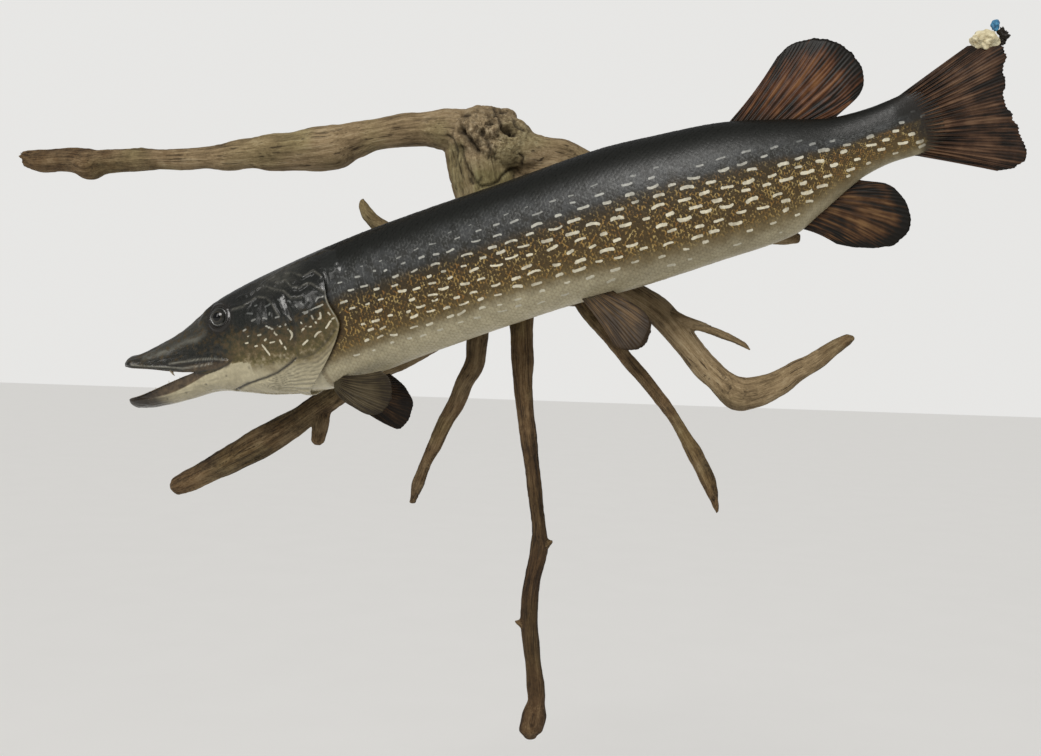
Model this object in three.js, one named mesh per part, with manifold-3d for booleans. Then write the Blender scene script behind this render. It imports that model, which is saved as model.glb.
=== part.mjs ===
// A taxidermy pike, mouth open, on a driftwood root. Millimetres, +Z up, +Y into the wall.
// The wall plane is y = 0. The origin is the middle of the root crown's flat sawn back.
import * as THREE from 'three';
import Module from 'manifold-3d';

const wasm = await Module();
wasm.setup();
const { Manifold, Mesh: SolidMesh } = wasm;

// ---------- named sizes ----------
const GAP = 0.3; // clearance between neighbouring solids
const FINE = 0.06; // facets smaller than this are merged
const TILT = THREE.MathUtils.degToRad(17.4); // the fish climbs to the right, tail up
const SNOUT = { x: -448.5, z: -135.6 }; // tip of the upper jaw
const SPINE_DEPTH = 125; // wall to the middle plane of the body
const HEAD_END = 212; // head meets trunk, measured along the fish
const FRONT_END = 400;
const MIDDLE_END = 590;
const REAR_END = 760;
const STALK_END = 872;
const MOUTH_CORNER = 85; // behind this the jaws touch
const JAW_END = 175;
const EYE = { u: 127, w: 11.5, radius: 9.5 };

// ---------- profiles along the fish: [distance from the snout, value] ----------
const TOP = [[0, -3], [5, -1], [22, 2], [60, 9.5], [86, 18], [112, 29.5], [134, 36], [185, 44.5], [279, 55],
  [360, 59.5], [447, 62], [554, 66], [616, 62], [675, 56], [732, 42], [774, 30], [800, 27.5], [826, 28], [880, 35]];
const BELLY = [[-6, -47], [-1, -52], [7, -55], [24, -58], [59, -60], [97, -61], [127, -71], [158, -82],
  [219, -93], [276, -89], [339, -84], [471, -78], [555, -79.5], [638, -77], [715, -73], [745, -60],
  [778, -44], [798, -36], [829, -31], [880, -34]];
const WIDTH = [[0, 8], [4, 13], [12, 17.5], [30, 20], [60, 22.5], [90, 26], [115, 30], [140, 34.5], [165, 39],
  [190, 43], [215, 46], [260, 49], [350, 52], [480, 53], [560, 51], [620, 46], [680, 38], [730, 29],
  [775, 20.5], [820, 15], [850, 12], [880, 9]];
const JAW_WIDTH = [[-6, 8], [-2, 12], [10, 17], [30, 19.5], [60, 22], [85, 25.4]];
const LIP = [[0, -4], [10, -9], [34, -18], [55, -26], [75, -33], [85, -36.5], [108, -40], [128, -39],
  [150, -42], [175, -46]];
const JAW_RIM = [[-6, -42], [13, -43], [27, -42], [45, -40], [60, -38.5], [78, -36.8], [85, -36.8]];
const WIDEST = [[0, -4], [34, -18], [55, -25], [90, -26], [125, -20], [160, -18], [220, -19], [400, -10],
  [560, -7], [700, -9], [780, -7], [880, 0]];

// smooth interpolation through a table of [position, value]
function along(table) {
  return (u) => {
    const last = table.length - 1;
    if (u <= table[0][0]) return table[0][1];
    if (u >= table[last][0]) return table[last][1];
    let i = 0;
    while (table[i + 1][0] < u) i += 1;
    const slope = (k) => {
      const a = table[Math.max(k - 1, 0)];
      const b = table[Math.min(k + 1, last)];
      return (b[1] - a[1]) / (b[0] - a[0]);
    };
    const [u0, v0] = table[i];
    const [u1, v1] = table[i + 1];
    const d = u1 - u0;
    const t = (u - u0) / d;
    const t2 = t * t;
    const t3 = t2 * t;
    return (2 * t3 - 3 * t2 + 1) * v0 + (t3 - 2 * t2 + t) * d * slope(i)
      + (3 * t2 - 2 * t3) * v1 + (t3 - t2) * d * slope(i + 1);
  };
}
const top = along(TOP);
const belly = along(BELLY);
const width = along(WIDTH);
const jawWidth = along(JAW_WIDTH);
const lip = along(LIP);
const jawRim = along(JAW_RIM);
const widest = along(WIDEST);

// the body bends a little towards the wall at the tail
const spineDepth = (u) => SPINE_DEPTH - 9 * THREE.MathUtils.smoothstep(u, 600, 900) + 3 * Math.sin(u / 150);

// fish coordinates (u along, side towards the room, w up) to the shared frame
function place(u, side, w) {
  const c = Math.cos(TILT);
  const s = Math.sin(TILT);
  return [SNOUT.x + u * c - w * s, -spineDepth(u) - side, SNOUT.z + u * s + w * c];
}

// half width of the body at height w, for a section of given top, bottom, widest level and half width
function halfWidth(w, hi, lo, mid, half) {
  const up = w >= mid;
  const power = up ? 2.2 : 2.5;
  const t = Math.min(1, Math.abs(w - mid) / (up ? hi - mid : mid - lo));
  return half * (1 - t ** power) ** (1 / power);
}

// ---------- solids ----------
function solid(vertices, triangles) {
  const build = (tri) => new Manifold(new SolidMesh({
    numProp: 3,
    vertProperties: Float32Array.from(vertices.flat()),
    triVerts: Uint32Array.from(tri.flat()),
  }));
  const first = build(triangles);
  return first.volume() > 0 ? first : build(triangles.map(([a, b, c]) => [a, c, b]));
}

// closed loft through rings of equal point count, each end closed by a fan
function loft(rings) {
  const n = rings[0].length;
  const vertices = rings.flat();
  const triangles = [];
  for (let r = 0; r + 1 < rings.length; r += 1) {
    for (let i = 0; i < n; i += 1) {
      const a = r * n + i;
      const b = r * n + ((i + 1) % n);
      triangles.push([a, b, b + n], [a, b + n, a + n]);
    }
  }
  for (const end of [0, rings.length - 1]) {
    const centre = vertices.length;
    vertices.push([0, 1, 2].map((k) => rings[end].reduce((sum, p) => sum + p[k], 0) / n));
    for (let i = 0; i < n; i += 1) {
      const a = end * n + i;
      const b = end * n + ((i + 1) % n);
      triangles.push(end === 0 ? [centre, b, a] : [centre, a, b]);
    }
  }
  return solid(vertices, triangles);
}

// closed plate between two grids of points: front[i][j] and back[i][j]
function plate(front, back) {
  const rows = front.length;
  const cols = front[0].length;
  const vertices = [...front.flat(), ...back.flat()];
  const at = (i, j, side) => side * rows * cols + i * cols + j;
  const triangles = [];
  const quad = (a, b, c, d) => triangles.push([a, b, c], [a, c, d]);
  for (let i = 0; i + 1 < rows; i += 1) {
    for (let j = 0; j + 1 < cols; j += 1) {
      quad(at(i, j, 0), at(i, j + 1, 0), at(i + 1, j + 1, 0), at(i + 1, j, 0));
      quad(at(i, j, 1), at(i + 1, j, 1), at(i + 1, j + 1, 1), at(i, j + 1, 1));
    }
  }
  const rim = [];
  for (let j = 0; j + 1 < cols; j += 1) rim.push([0, j]);
  for (let i = 0; i + 1 < rows; i += 1) rim.push([i, cols - 1]);
  for (let j = cols - 1; j > 0; j -= 1) rim.push([rows - 1, j]);
  for (let i = rows - 1; i > 0; i -= 1) rim.push([i, 0]);
  rim.forEach(([i, j], k) => {
    const [m, n] = rim[(k + 1) % rim.length];
    quad(at(i, j, 0), at(i, j, 1), at(m, n, 1), at(m, n, 0));
  });
  return solid(vertices, triangles);
}

function spread(from, to, count) {
  return Array.from({ length: count }, (_, i) => from + ((to - from) * i) / (count - 1));
}

const RING = 22;
function trunkRing(u, grow) {
  const hi = top(u) + grow;
  const lo = belly(u) - grow;
  const mid = widest(u);
  return Array.from({ length: RING }, (_, i) => {
    const a = (2 * Math.PI * i) / RING;
    const w = Math.sin(a) >= 0 ? mid + (hi - mid) * Math.sin(a) ** 0.93 : mid - (mid - lo) * (-Math.sin(a)) ** 0.9;
    return place(u, Math.sign(Math.cos(a)) * halfWidth(w, hi, lo, mid, width(u) + grow), w);
  });
}
const STATIONS = [174, 186, 199, HEAD_END, 228, 246, 265, 290, 320, 360, FRONT_END, 440, 480, 520, 555, MIDDLE_END, 612,
  636, 658, 680, 700, 718, 736, REAR_END, 772, 784, 800, 820, 845, STALK_END];
function trunk(from, to, grow = 0) {
  const inside = STATIONS.filter((u) => u > from + 1 && u < to - 1);
  return loft([from, ...inside, to].map((u) => trunkRing(u, grow)));
}

// a section over [lo, hi], flat at the cut, arched where the body closes
const ARCH = 6;
function jawRing(u, bottom, rim, half, upper, grow) {
  const hi = upper ? top(u) + grow : Math.max(top(u), rim + 1);
  const lo = upper ? Math.min(belly(u), rim - 1) : belly(u) - grow;
  const open = u < MOUTH_CORNER;
  const mid = open ? rim : THREE.MathUtils.lerp(rim, widest(u), Math.min(1, (u - MOUTH_CORNER) / 45));
  const reach = upper ? hi - bottom : bottom - lo;
  const points = [];
  for (let i = -ARCH; i <= ARCH; i += 1) {
    const w = upper ? bottom + reach * Math.cos((i / ARCH) * Math.PI / 2) : bottom - reach * Math.cos((i / ARCH) * Math.PI / 2);
    const side = halfWidth(w, hi, lo, mid, half + grow);
    points.push(place(u, i === 0 ? 0 : Math.sign(i) * side, w));
  }
  const rimHalf = halfWidth(bottom, hi, lo, mid, half + grow);
  const hollow = open ? 2.5 : 0; // the palate and the floor of the mouth are a little hollow
  for (const k of [0.6, 0, -0.6]) {
    const lift = hollow * (1 - k * k) * (upper ? 1 : -1);
    points.push(place(u, k * rimHalf, bottom + lift));
  }
  return points;
}
const HEAD_STATIONS = [0, 2, 6, 14, 28, 45, 65, 80, 95, 112, 130, 150, 176];
function headSolid(grow = 0) {
  const snout = loft(HEAD_STATIONS.map((u) => jawRing(u, lip(u) - grow, lip(u) - grow, width(u), true, grow)));
  const rear = trunk(174, HEAD_END, grow);
  return snout.add(rear);
}
function jawSolid() {
  const rim = (u) => (u < MOUTH_CORNER ? jawRim(u) : lip(u)) - GAP;
  const half = (u) => (u < MOUTH_CORNER ? jawWidth(u) : width(u));
  return loft([-6, -4, 0, 8, 22, 40, 60, 78, 90, 105, 125, 150, 174 - GAP]
    .map((u) => jawRing(u, rim(u), rim(u), half(u), false, 0)));
}

// gill cover and the ribbed membrane below it: a shell that laps over the shoulder
const GILL_FRONT = 186;
const GILL_EDGE = [[-1, 206], [-0.92, 226], [-0.72, 243], [-0.45, 254], [-0.2, 256], [0.1, 250], [0.45, 250], [0.75, 246]];
const GILL_PROUD = 2.6;
const GILL_DEPTH = 4;
function gillCover(sign, grow = 0) {
  const edge = along(GILL_EDGE);
  const heights = spread(-0.985, 0.735, 13);
  if (grow > 0) {
    heights.unshift(heights[0] - grow / 150);
    heights.push(0.735 + grow / 60);
  }
  const outside = [];
  const inside = [];
  for (const s of spread(0, 1, 6)) {
    const outer = [];
    const inner = [];
    for (const t of heights) {
      const reach = edge(t) - GILL_FRONT;
      const u = GILL_FRONT - grow + (reach + 2 * grow) * s;
      const lap = THREE.MathUtils.clamp((u - GILL_FRONT) / reach, 0, 1);
      const mid = widest(u);
      const level = (out) => (t >= 0 ? mid + t * (top(u) + out - mid) : mid + t * (mid - belly(u) + out));
      const side = (out) => halfWidth(level(out), top(u) + out, belly(u) - out, mid, width(u) + out);
      const proud = GILL_PROUD * Math.sqrt(lap) + grow;
      outer.push(place(u, sign * side(proud), level(proud)));
      inner.push(place(u, sign * side(-GILL_DEPTH - grow), level(-GILL_DEPTH - grow)));
    }
    outside.push(outer);
    inside.push(inner);
  }
  return plate(outside, inside);
}

function ball(u, side, w, radius, grow = 0, flat = 1) {
  const c = place(u, side, w);
  return Manifold.sphere(radius + grow, 16).scale([1, flat, 1]).translate(c);
}

// a fin: rays fan from its base line to its edge, thinner at the edge, with a low ridge along each ray
function fin({ base, edge, rays, steps = 4, thick = 3, thin = 1.1, sideAt, ridge = 0.3 }) {
  const line = (points) => new THREE.SplineCurve(points.map(([u, w]) => new THREE.Vector2(u, w)));
  const foot = line(base).getSpacedPoints(rays);
  const rim = line(edge).getSpacedPoints(rays);
  const fronts = [];
  const backs = [];
  foot.forEach((b, i) => {
    const front = [];
    const back = [];
    spread(0, 1, steps + 1).forEach((t) => {
      const u = THREE.MathUtils.lerp(b.x, rim[i].x, t);
      const w = THREE.MathUtils.lerp(b.y, rim[i].y, t);
      const half = THREE.MathUtils.lerp(thick, thin, t) / 2 + (i % 2 ? ridge : -ridge) * (1 - 0.6 * t);
      const side = sideAt(u, w, t, i / rays);
      front.push(place(u, side + half, w));
      back.push(place(u, side - half, w));
    });
    fronts.push(front);
    backs.push(back);
  });
  return plate(fronts, backs);
}

// a root limb: rows of [x, depth, z, radius], uneven round sections, following a smooth path
const SIDES = 8;
function limb(rows, { grow = 0, seed = 0, flat = 0.92, smooth = 1 } = {}) {
  const path = new THREE.CatmullRomCurve3(rows.map(([x, d, z]) => new THREE.Vector3(x, -d, z)), false, 'centripetal');
  const count = (rows.length - 1) * smooth;
  const rings = Array.from({ length: count + 1 }, (_, k) => {
    const t = k / count;
    const centre = path.getPoint(t);
    const tangent = path.getTangent(t);
    const inPlane = new THREE.Vector3(0, 1, 0).cross(tangent).normalize();
    const out = new THREE.Vector3().crossVectors(tangent, inPlane).normalize();
    const f = t * (rows.length - 1);
    const i = Math.min(Math.floor(f), rows.length - 2);
    const r = THREE.MathUtils.lerp(rows[i][3], rows[i + 1][3], THREE.MathUtils.smoothstep(f - i, 0, 1)) + grow;
    return Array.from({ length: SIDES }, (_, j) => {
      const a = (2 * Math.PI * j) / SIDES;
      const rough = 1 + 0.05 * Math.sin(3 * a + seed + k * 0.9) + 0.035 * Math.sin(5 * a - seed * 2 + k * 1.7);
      const p = centre.clone().addScaledVector(inPlane, Math.cos(a) * r * rough)
        .addScaledVector(out, Math.sin(a) * r * flat * rough);
      return [p.x, p.y, p.z];
    });
  });
  return loft(rings);
}
const lump = (x, depth, z, rx, ry, rz, grow = 0, segments = 12) => Manifold.sphere(1, segments)
  .scale([rx + grow, ry + grow, rz + grow]).translate([x, -depth, z]);

// ---------- the fish ----------
const leftGill = gillCover(1);
const rightGill = gillCover(-1);
const gillCut = gillCover(1, GAP).add(gillCover(-1, GAP));
const eyeSide = halfWidth(EYE.w, top(EYE.u), belly(EYE.u), widest(EYE.u), width(EYE.u)) - 6.2;
const eyes = [1, -1].map((s) => ball(EYE.u, s * eyeSide, EYE.w, EYE.radius, 0, 0.92));
const sockets = [1, -1].map((s) => ball(EYE.u, s * eyeSide, EYE.w, EYE.radius, GAP, 0.92));
const headWhole = headSolid();
const head = headWhole.subtract(gillCut).subtract(sockets[0]).subtract(sockets[1]).simplify(FINE);
const jaw = jawSolid().subtract(gillCut).subtract(headSolid(GAP)).simplify(FINE);
const trunkFront = trunk(HEAD_END + GAP, FRONT_END).subtract(gillCut).simplify(FINE);
const trunkMiddle = trunk(FRONT_END + GAP, MIDDLE_END);
const trunkRear = trunk(MIDDLE_END + GAP, REAR_END);
const stalk = trunk(REAR_END + GAP, STALK_END);
const bodyCut = trunk(174, STALK_END + GAP, GAP).add(gillCut);

const flatSide = () => 0;
const caudalWhole = fin({
  base: [[868, 33], [874, 18], [876, 0], [873, -18], [864, -32]],
  edge: [[923, 58], [940, 55], [957, 48], [950, 22], [945, -3], [949, -30], [950, -54], [942, -68], [920, -68]],
  rays: 17, steps: 4, thick: 8, thin: 1.4, ridge: 0.25,
  sideAt: (u, w, t) => -10 * t * t + 3 * t * Math.sin(w / 22),
});
const putty = lump(...(() => { const [x, y, z] = place(940, -8, 58); return [x, -y, z]; })(), 14, 8, 10);
const puttyCut = lump(...(() => { const [x, y, z] = place(940, -8, 58); return [x, -y, z]; })(), 14, 8, 10, GAP);
const blueScrap = lump(...(() => { const [x, y, z] = place(953, -8, 69); return [x, -y, z]; })(), 4.5, 3.5, 6)
  .subtract(puttyCut);
const caudal = caudalWhole.subtract(bodyCut).subtract(puttyCut);
const dorsal = fin({
  base: [[678, 50], [712, 42], [745, 32], [776, 25]],
  edge: [[748, 104], [762, 111], [781, 112], [799, 105], [816, 89], [823, 67], [818, 48], [805, 38], [790, 34]],
  rays: 15, steps: 3, thick: 5, sideAt: (u, w, t) => -4 * t * t,
}).subtract(bodyCut);
const anal = fin({
  base: [[715, -64], [740, -52], [780, -38]],
  edge: [[766, -101], [784, -107], [802, -110], [819, -104], [828, -85], [825, -65], [814, -49], [794, -41]],
  rays: 13, steps: 3, thick: 4.5, sideAt: (u, w, t) => -3 * t * t,
}).subtract(bodyCut);
const PECTORAL = {
  base: [[229, -80], [226, -96]],
  edge: [[286, -91], [293, -103], [289, -119], [280, -128], [269, -132], [256, -129], [240, -116]],
  rays: 11, steps: 3, thick: 4, thin: 1.2,
};
const pectoralLeft = fin({ ...PECTORAL, sideAt: (u) => 22 + 0.36 * (u - 229) }).subtract(bodyCut);
const pectoralRight = fin({
  ...PECTORAL,
  base: [[229, -82], [230, -98]],
  edge: [[272, -91], [283, -108], [287, -127], [281, -141], [268, -152], [254, -143], [238, -126]],
  sideAt: (u) => -22 - 0.3 * (u - 229),
}).subtract(bodyCut);
const PELVIC = {
  base: [[493, -68], [508, -70], [524, -72]],
  edge: [[516, -131], [526, -138], [539, -139], [550, -130], [556, -116], [550, -101], [536, -89]],
  rays: 11, steps: 3, thick: 4, thin: 1.2,
};
const pelvicLeft = fin({ ...PELVIC, sideAt: (u, w) => 15 - 0.18 * (w + 70) }).subtract(bodyCut);
const pelvicRight = fin({ ...PELVIC, sideAt: (u, w) => -15 + 0.18 * (w + 70) }).subtract(bodyCut);

// ---------- the driftwood ----------
const wall = Manifold.cube([2000, 400, 2000], true).translate([0, 200, 0]); // everything behind y = 0
const behindWall = (s) => s.subtract(wall);
const PAD_DEPTH = 34;
const crownAt = (grow) => lump(-8, PAD_DEPTH, -4, 84, 44, 52, grow, 20).add(lump(30, PAD_DEPTH, -22, 62, 40, 40, grow, 16));
const burlAt = (grow) => [
  lump(-72, 54, 116, 42, 34, 38, grow, 16), lump(-50, 52, 139, 13, 13, 14, grow), lump(-46, 56, 110, 30, 28, 32, grow),
  limb([[-78, 50, 112, 38], [-74, 48, 84, 37], [-66, 45, 54, 37], [-46, 40, 20, 40]], { grow, seed: 1 }),
  limb([[-60, 54, 112, 30], [-26, 54, 104, 24], [8, 50, 100, 16], [36, 44, 92, 11], [56, 38, 78, 7]], { grow, seed: 4 }),
].reduce((a, b) => a.add(b));
const pits = lump(-50, 86, 128, 8, 12, 6).add(lump(-90, 84, 112, 6, 9, 13)).add(lump(-74, 88, 116, 5, 8, 7));
const crown = behindWall(crownAt(0)).subtract(bodyCut).simplify(FINE);
const burl = burlAt(0).subtract(crownAt(GAP)).subtract(bodyCut).subtract(pits).simplify(FINE);

const LONG_ARM = [[-631, 46, 103, 4], [-622, 46, 99, 11], [-602, 47, 96, 13.5], [-560, 48, 96, 14.5], [-541, 48, 92, 18],
  [-522, 48, 95, 14.5], [-465, 49, 97, 12.5], [-404, 50, 98, 12.3], [-356, 50, 102, 16.5], [-296, 51, 106, 21.5],
  [-244, 52, 110, 24.5], [-222, 52, 117, 20], [-193, 52, 124, 16.4], [-146, 53, 129, 18], [-104, 54, 128, 24]];
const LOWER_LEFT = [[-433, 50, -281, 4], [-424, 50, -279, 10.5], [-406, 49, -271, 13], [-369, 48, -251, 15.5],
  [-327, 48, -227, 17.5], [-290, 47, -205, 15], [-252, 46, -178, 13.6], [-213, 44, -152, 14.5], [-129, 40, -98, 17],
  [-50, 38, -44, 22]];
const KNUB = [[-250, 46, -184, 8], [-254, 48, -203, 10], [-257, 48, -221, 8.3], [-257, 48, -227, 4]];
const DOWN_LEFT = [[-144, 52, -286, 3], [-137, 52, -261, 6.6], [-130, 51, -240, 7], [-121, 50, -221, 8.2],
  [-110, 49, -195, 8.8], [-98, 48, -172, 9.3], [-90, 47, -151, 10.2], [-79, 46, -129, 12], [-77, 44, -106, 12.4],
  [-72, 42, -77, 12], [-46, 40, -40, 15]];
const DOWN_LONG = [[-4, 50, -540, 6], [-4, 50, -530, 13], [-1, 50, -514, 14.6], [2, 50, -497, 10.2], [0, 50, -475, 10],
  [-7, 50, -431, 10.2], [-8, 50, -387, 9.3], [-6, 50, -365, 8.8], [0, 50, -329, 10], [-1, 50, -304, 8.4],
  [-5, 50, -276, 8.6], [-11, 49, -232, 9.6], [-18, 48, -189, 10], [-23, 46, -145, 11.2], [-26, 44, -101, 12],
  [-27, 42, -60, 14], [-20, 40, -28, 18]];
const DOWN_RIGHT = [[192, 52, -281, 2.4], [189, 52, -271, 5], [185, 52, -258, 8], [180, 52, -245, 9.6],
  [168, 51, -223, 8.8], [156, 50, -202, 7.4], [143, 50, -181, 7], [109, 48, -139, 7.4], [90, 47, -118, 7.4],
  [72, 46, -96, 8.6], [54, 44, -76, 9], [40, 42, -58, 10], [24, 40, -30, 14]];
const ELBOW = [[327, 56, -90, 3], [319, 56, -92, 6.8], [305, 55, -101, 8.6], [285, 54, -117, 10.6], [267, 53, -127, 11.8],
  [249, 52, -140, 13.5], [223, 51, -151, 15.8], [208, 50, -152, 18], [184, 49, -134, 14], [167, 48, -117, 13.5],
  [147, 47, -94, 13.5], [121, 45, -66, 14.5], [87, 42, -44, 14], [46, 40, -22, 18]];
const TWIG = [[220, 54, -106, 1.6], [208, 54, -98, 2.8], [190, 53, -90, 3.8], [170, 52, -82, 4.2], [155, 51, -79, 5.8],
  [136, 49, -72, 8], [112, 46, -60, 11]];
const HOOK = [[-209, 58, 51, 2.4], [-206, 58, 43, 6], [-199, 57, 32, 8.4], [-184, 54, 19, 11.5], [-164, 50, 10, 13],
  [-119, 44, 6, 13], [-62, 40, 2, 16]];
const REAR_STUB = [[267, 50, 15, 3.6], [252, 48, 17, 5.4], [185, 45, 18, 9.6], [79, 40, 6, 15], [50, 38, 0, 18]];

// every root is cut clear of the crown, the burl, the fish and the roots before it
const ROOTS = {
  root_long_left: LONG_ARM,
  root_lower_left: LOWER_LEFT,
  root_elbow: ELBOW,
  root_down_long: DOWN_LONG,
  root_down_left: DOWN_LEFT,
  root_down_right: DOWN_RIGHT,
  root_hook: HOOK,
  root_rear_stub: REAR_STUB,
  root_twig: TWIG,
  root_knub: KNUB,
};
let woodCut = crownAt(GAP).add(burlAt(GAP)).add(bodyCut);
const roots = Object.entries(ROOTS).map(([name, rows], seed) => {
  const free = behindWall(limb(rows, { seed })).subtract(woodCut).simplify(FINE);
  woodCut = woodCut.add(limb(rows, { seed, grow: GAP }));
  return [name, free.decompose().sort((p, q) => q.volume() - p.volume())[0]];
});

// ---------- colours ----------
const paint = (name, color, roughness, metalness = 0) => Object.assign(
  new THREE.MeshStandardMaterial({ color, roughness, metalness }), { name });
const look = {
  back: paint('painted_skin_dark', '#3a382f', 0.38),
  flank: paint('painted_skin_flank', '#6c5f3d', 0.4),
  jaw: paint('painted_skin_jaw', '#8c8263', 0.4),
  gill: paint('painted_skin_gill', '#857b5c', 0.42),
  fin: paint('painted_fin', '#4a2f1d', 0.45),
  paleFin: paint('painted_fin_olive', '#6a604c', 0.45),
  eye: paint('glass_eye', '#2a2416', 0.08),
  putty: paint('repair_putty', '#d9cfb0', 0.85),
  blue: paint('blue_tape', '#2f6f96', 0.6),
  wood: paint('driftwood', '#8a7a62', 0.88),
  darkWood: paint('driftwood_dark', '#5f4c3a', 0.85),
};

const group = new THREE.Group();
group.name = 'mounted_pike';
function add(name, part, material) {
  const m = part.getMesh();
  const geometry = new THREE.BufferGeometry();
  geometry.setAttribute('position', new THREE.BufferAttribute(Float32Array.from(m.vertProperties), 3));
  geometry.setIndex(new THREE.BufferAttribute(Uint32Array.from(m.triVerts), 1));
  geometry.computeVertexNormals();
  const mesh = new THREE.Mesh(geometry, material);
  mesh.name = name;
  group.add(mesh);
}
add('head', head, look.back);
add('lower_jaw', jaw, look.jaw);
add('gill_cover_left', leftGill, look.gill);
add('gill_cover_right', rightGill, look.gill);
add('eye_left', eyes[0], look.eye);
add('eye_right', eyes[1], look.eye);
add('trunk_front', trunkFront, look.flank);
add('trunk_middle', trunkMiddle, look.flank);
add('trunk_rear', trunkRear, look.flank);
add('tail_stalk', stalk, look.flank);
add('caudal_fin', caudal, look.fin);
add('dorsal_fin', dorsal, look.fin);
add('anal_fin', anal, look.fin);
add('pectoral_fin_left', pectoralLeft, look.paleFin);
add('pectoral_fin_right', pectoralRight, look.fin);
add('pelvic_fin_left', pelvicLeft, look.paleFin);
add('pelvic_fin_right', pelvicRight, look.paleFin);
add('tail_putty', putty, look.putty);
add('tail_blue_scrap', blueScrap, look.blue);
add('root_crown', crown, look.wood);
add('burl', burl, look.wood);
const DARK_ROOTS = new Set(['root_down_long', 'root_down_right', 'root_down_left', 'root_lower_left', 'root_knub']);
for (const [name, part] of roots) add(name, part, DARK_ROOTS.has(name) ? look.darkWood : look.wood);

export default group;
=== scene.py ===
# %% [markdown]
# # A mounted pike on driftwood
# The real thing is a cured, painted and varnished fish skin over a carved foam body, with glass eyes
# and fins that dried hard, wired to a grey root that hangs on a wall. A fish like this could be
# sculpted freely, or lofted: cross sections at measured places joined along the body. It is lofted
# here, because a pike is a long smooth form and every later step can then ask where it is along the
# fish. The lesson goes through it in this order: skin, mouth, scales, paint, eyes, teeth, fins, wood, and
# then the light.

# %% Load the frame
import math
import bpy
import numpy as np
from mathutils import Matrix, Vector


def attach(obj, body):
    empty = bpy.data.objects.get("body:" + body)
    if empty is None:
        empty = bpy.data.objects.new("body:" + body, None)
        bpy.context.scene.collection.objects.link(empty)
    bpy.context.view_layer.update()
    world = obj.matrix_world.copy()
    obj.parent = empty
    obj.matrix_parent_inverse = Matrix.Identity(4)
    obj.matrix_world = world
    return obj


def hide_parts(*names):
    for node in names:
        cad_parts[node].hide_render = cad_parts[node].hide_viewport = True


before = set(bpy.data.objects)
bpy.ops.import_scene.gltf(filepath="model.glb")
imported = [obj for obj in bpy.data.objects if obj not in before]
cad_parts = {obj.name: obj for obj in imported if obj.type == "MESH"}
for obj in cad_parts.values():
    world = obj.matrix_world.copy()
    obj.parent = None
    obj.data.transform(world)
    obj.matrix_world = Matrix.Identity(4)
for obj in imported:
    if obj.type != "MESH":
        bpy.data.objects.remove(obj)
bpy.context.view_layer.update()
MM = 0.001  # the lesson measures in millimetres, Blender in metres
print("solids loaded:", len(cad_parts))

# %% [markdown]
# ## The camera
# A camera is a place, a direction and a lens. The frame is 1041 pixels wide, so the lens in
# millimetres on a 36 mm film back is the focal length in pixels times 36 / 1041.

# %% Camera
CAMERA_AT = Vector((0.15212, -1.21301, -0.11533))
CAMERA_RIGHT = Vector((0.98804, 0.15183, 0.02699))
CAMERA_UP = Vector((-0.03022, 0.01896, 0.99936))
FOCAL_PIXELS, FRAME_WIDTH = 1070.9, 1041


def add_object(name, data):
    """Puts new data into the scene as an object."""
    new = bpy.data.objects.new(name, data)
    bpy.context.scene.collection.objects.link(new)
    return new


camera = add_object("camera", bpy.data.cameras.new("camera"))
camera.data.lens = FOCAL_PIXELS * 36 / FRAME_WIDTH
camera.data.sensor_width = 36
camera.data.sensor_fit = "HORIZONTAL"
camera.data.clip_end = 60
look_back = CAMERA_RIGHT.cross(CAMERA_UP).normalized()
axes = Matrix((CAMERA_RIGHT, look_back.cross(CAMERA_RIGHT).normalized(), look_back)).transposed()
camera.matrix_world = Matrix.Translation(CAMERA_AT) @ axes.to_4x4()
bpy.context.scene.camera = camera
print("lens", round(camera.data.lens, 2), "mm")

# %% [markdown]
# ## Lines of the fish
# A boat builder draws a hull as lines: back, belly and breadth against length. The pike's lines are
# tables of [distance from the snout, value], and a smooth curve runs through each one.

# %% Lines
TILT = math.radians(17.4)  # the fish climbs to the right
SNOUT_X, SNOUT_Z, SPINE_DEPTH = -448.5, -135.6, 125.0
MOUTH_CORNER = 85.0
TOP = [[0, -2], [3, 0], [8, 1.2], [22, 2.6], [60, 9.5], [86, 18], [112, 29.5], [134, 36], [185, 44.5],
       [279, 55], [360, 59.5], [447, 62], [554, 66], [616, 62], [675, 56], [732, 42], [774, 30],
       [800, 27.5], [826, 28], [880, 35]]
BELLY = [[-6, -47], [-1, -52], [7, -55], [24, -58], [59, -60], [97, -61], [127, -71], [158, -82],
         [219, -93], [276, -89], [339, -84], [471, -78], [555, -79.5], [638, -77], [715, -73],
         [745, -60], [778, -44], [798, -36], [829, -31], [880, -34]]
WIDTH = [[0, 8], [4, 13], [12, 17.5], [30, 20], [60, 22.5], [90, 26], [115, 30], [140, 34.5], [165, 39],
         [190, 43], [215, 46], [260, 49], [350, 52], [480, 53], [560, 51], [620, 46], [680, 38],
         [730, 29], [775, 20.5], [820, 15], [850, 12], [880, 9]]
JAW_WIDTH = [[-6, 8], [-2, 12], [10, 17], [30, 19.5], [60, 22], [85, 25.4]]
LIP = [[0, -5.5], [3, -7.4], [10, -10], [34, -18], [55, -26], [75, -33], [85, -36.5], [108, -40],
       [128, -39], [150, -42], [175, -46]]
JAW_RIM = [[-6, -42], [13, -43], [27, -42], [45, -40], [60, -38.5], [78, -36.8], [85, -36.5]]
WIDEST = [[0, -4], [34, -18], [55, -25], [90, -26], [125, -20], [160, -18], [220, -19], [400, -10],
          [560, -7], [700, -9], [780, -7], [880, 0]]
GILL_EDGE = [[-1, 196], [-0.92, 203], [-0.84, 212], [-0.66, 230], [-0.5, 244], [-0.33, 255],
             [-0.2, 259], [0.1, 254], [0.45, 254], [0.75, 250]]


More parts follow.
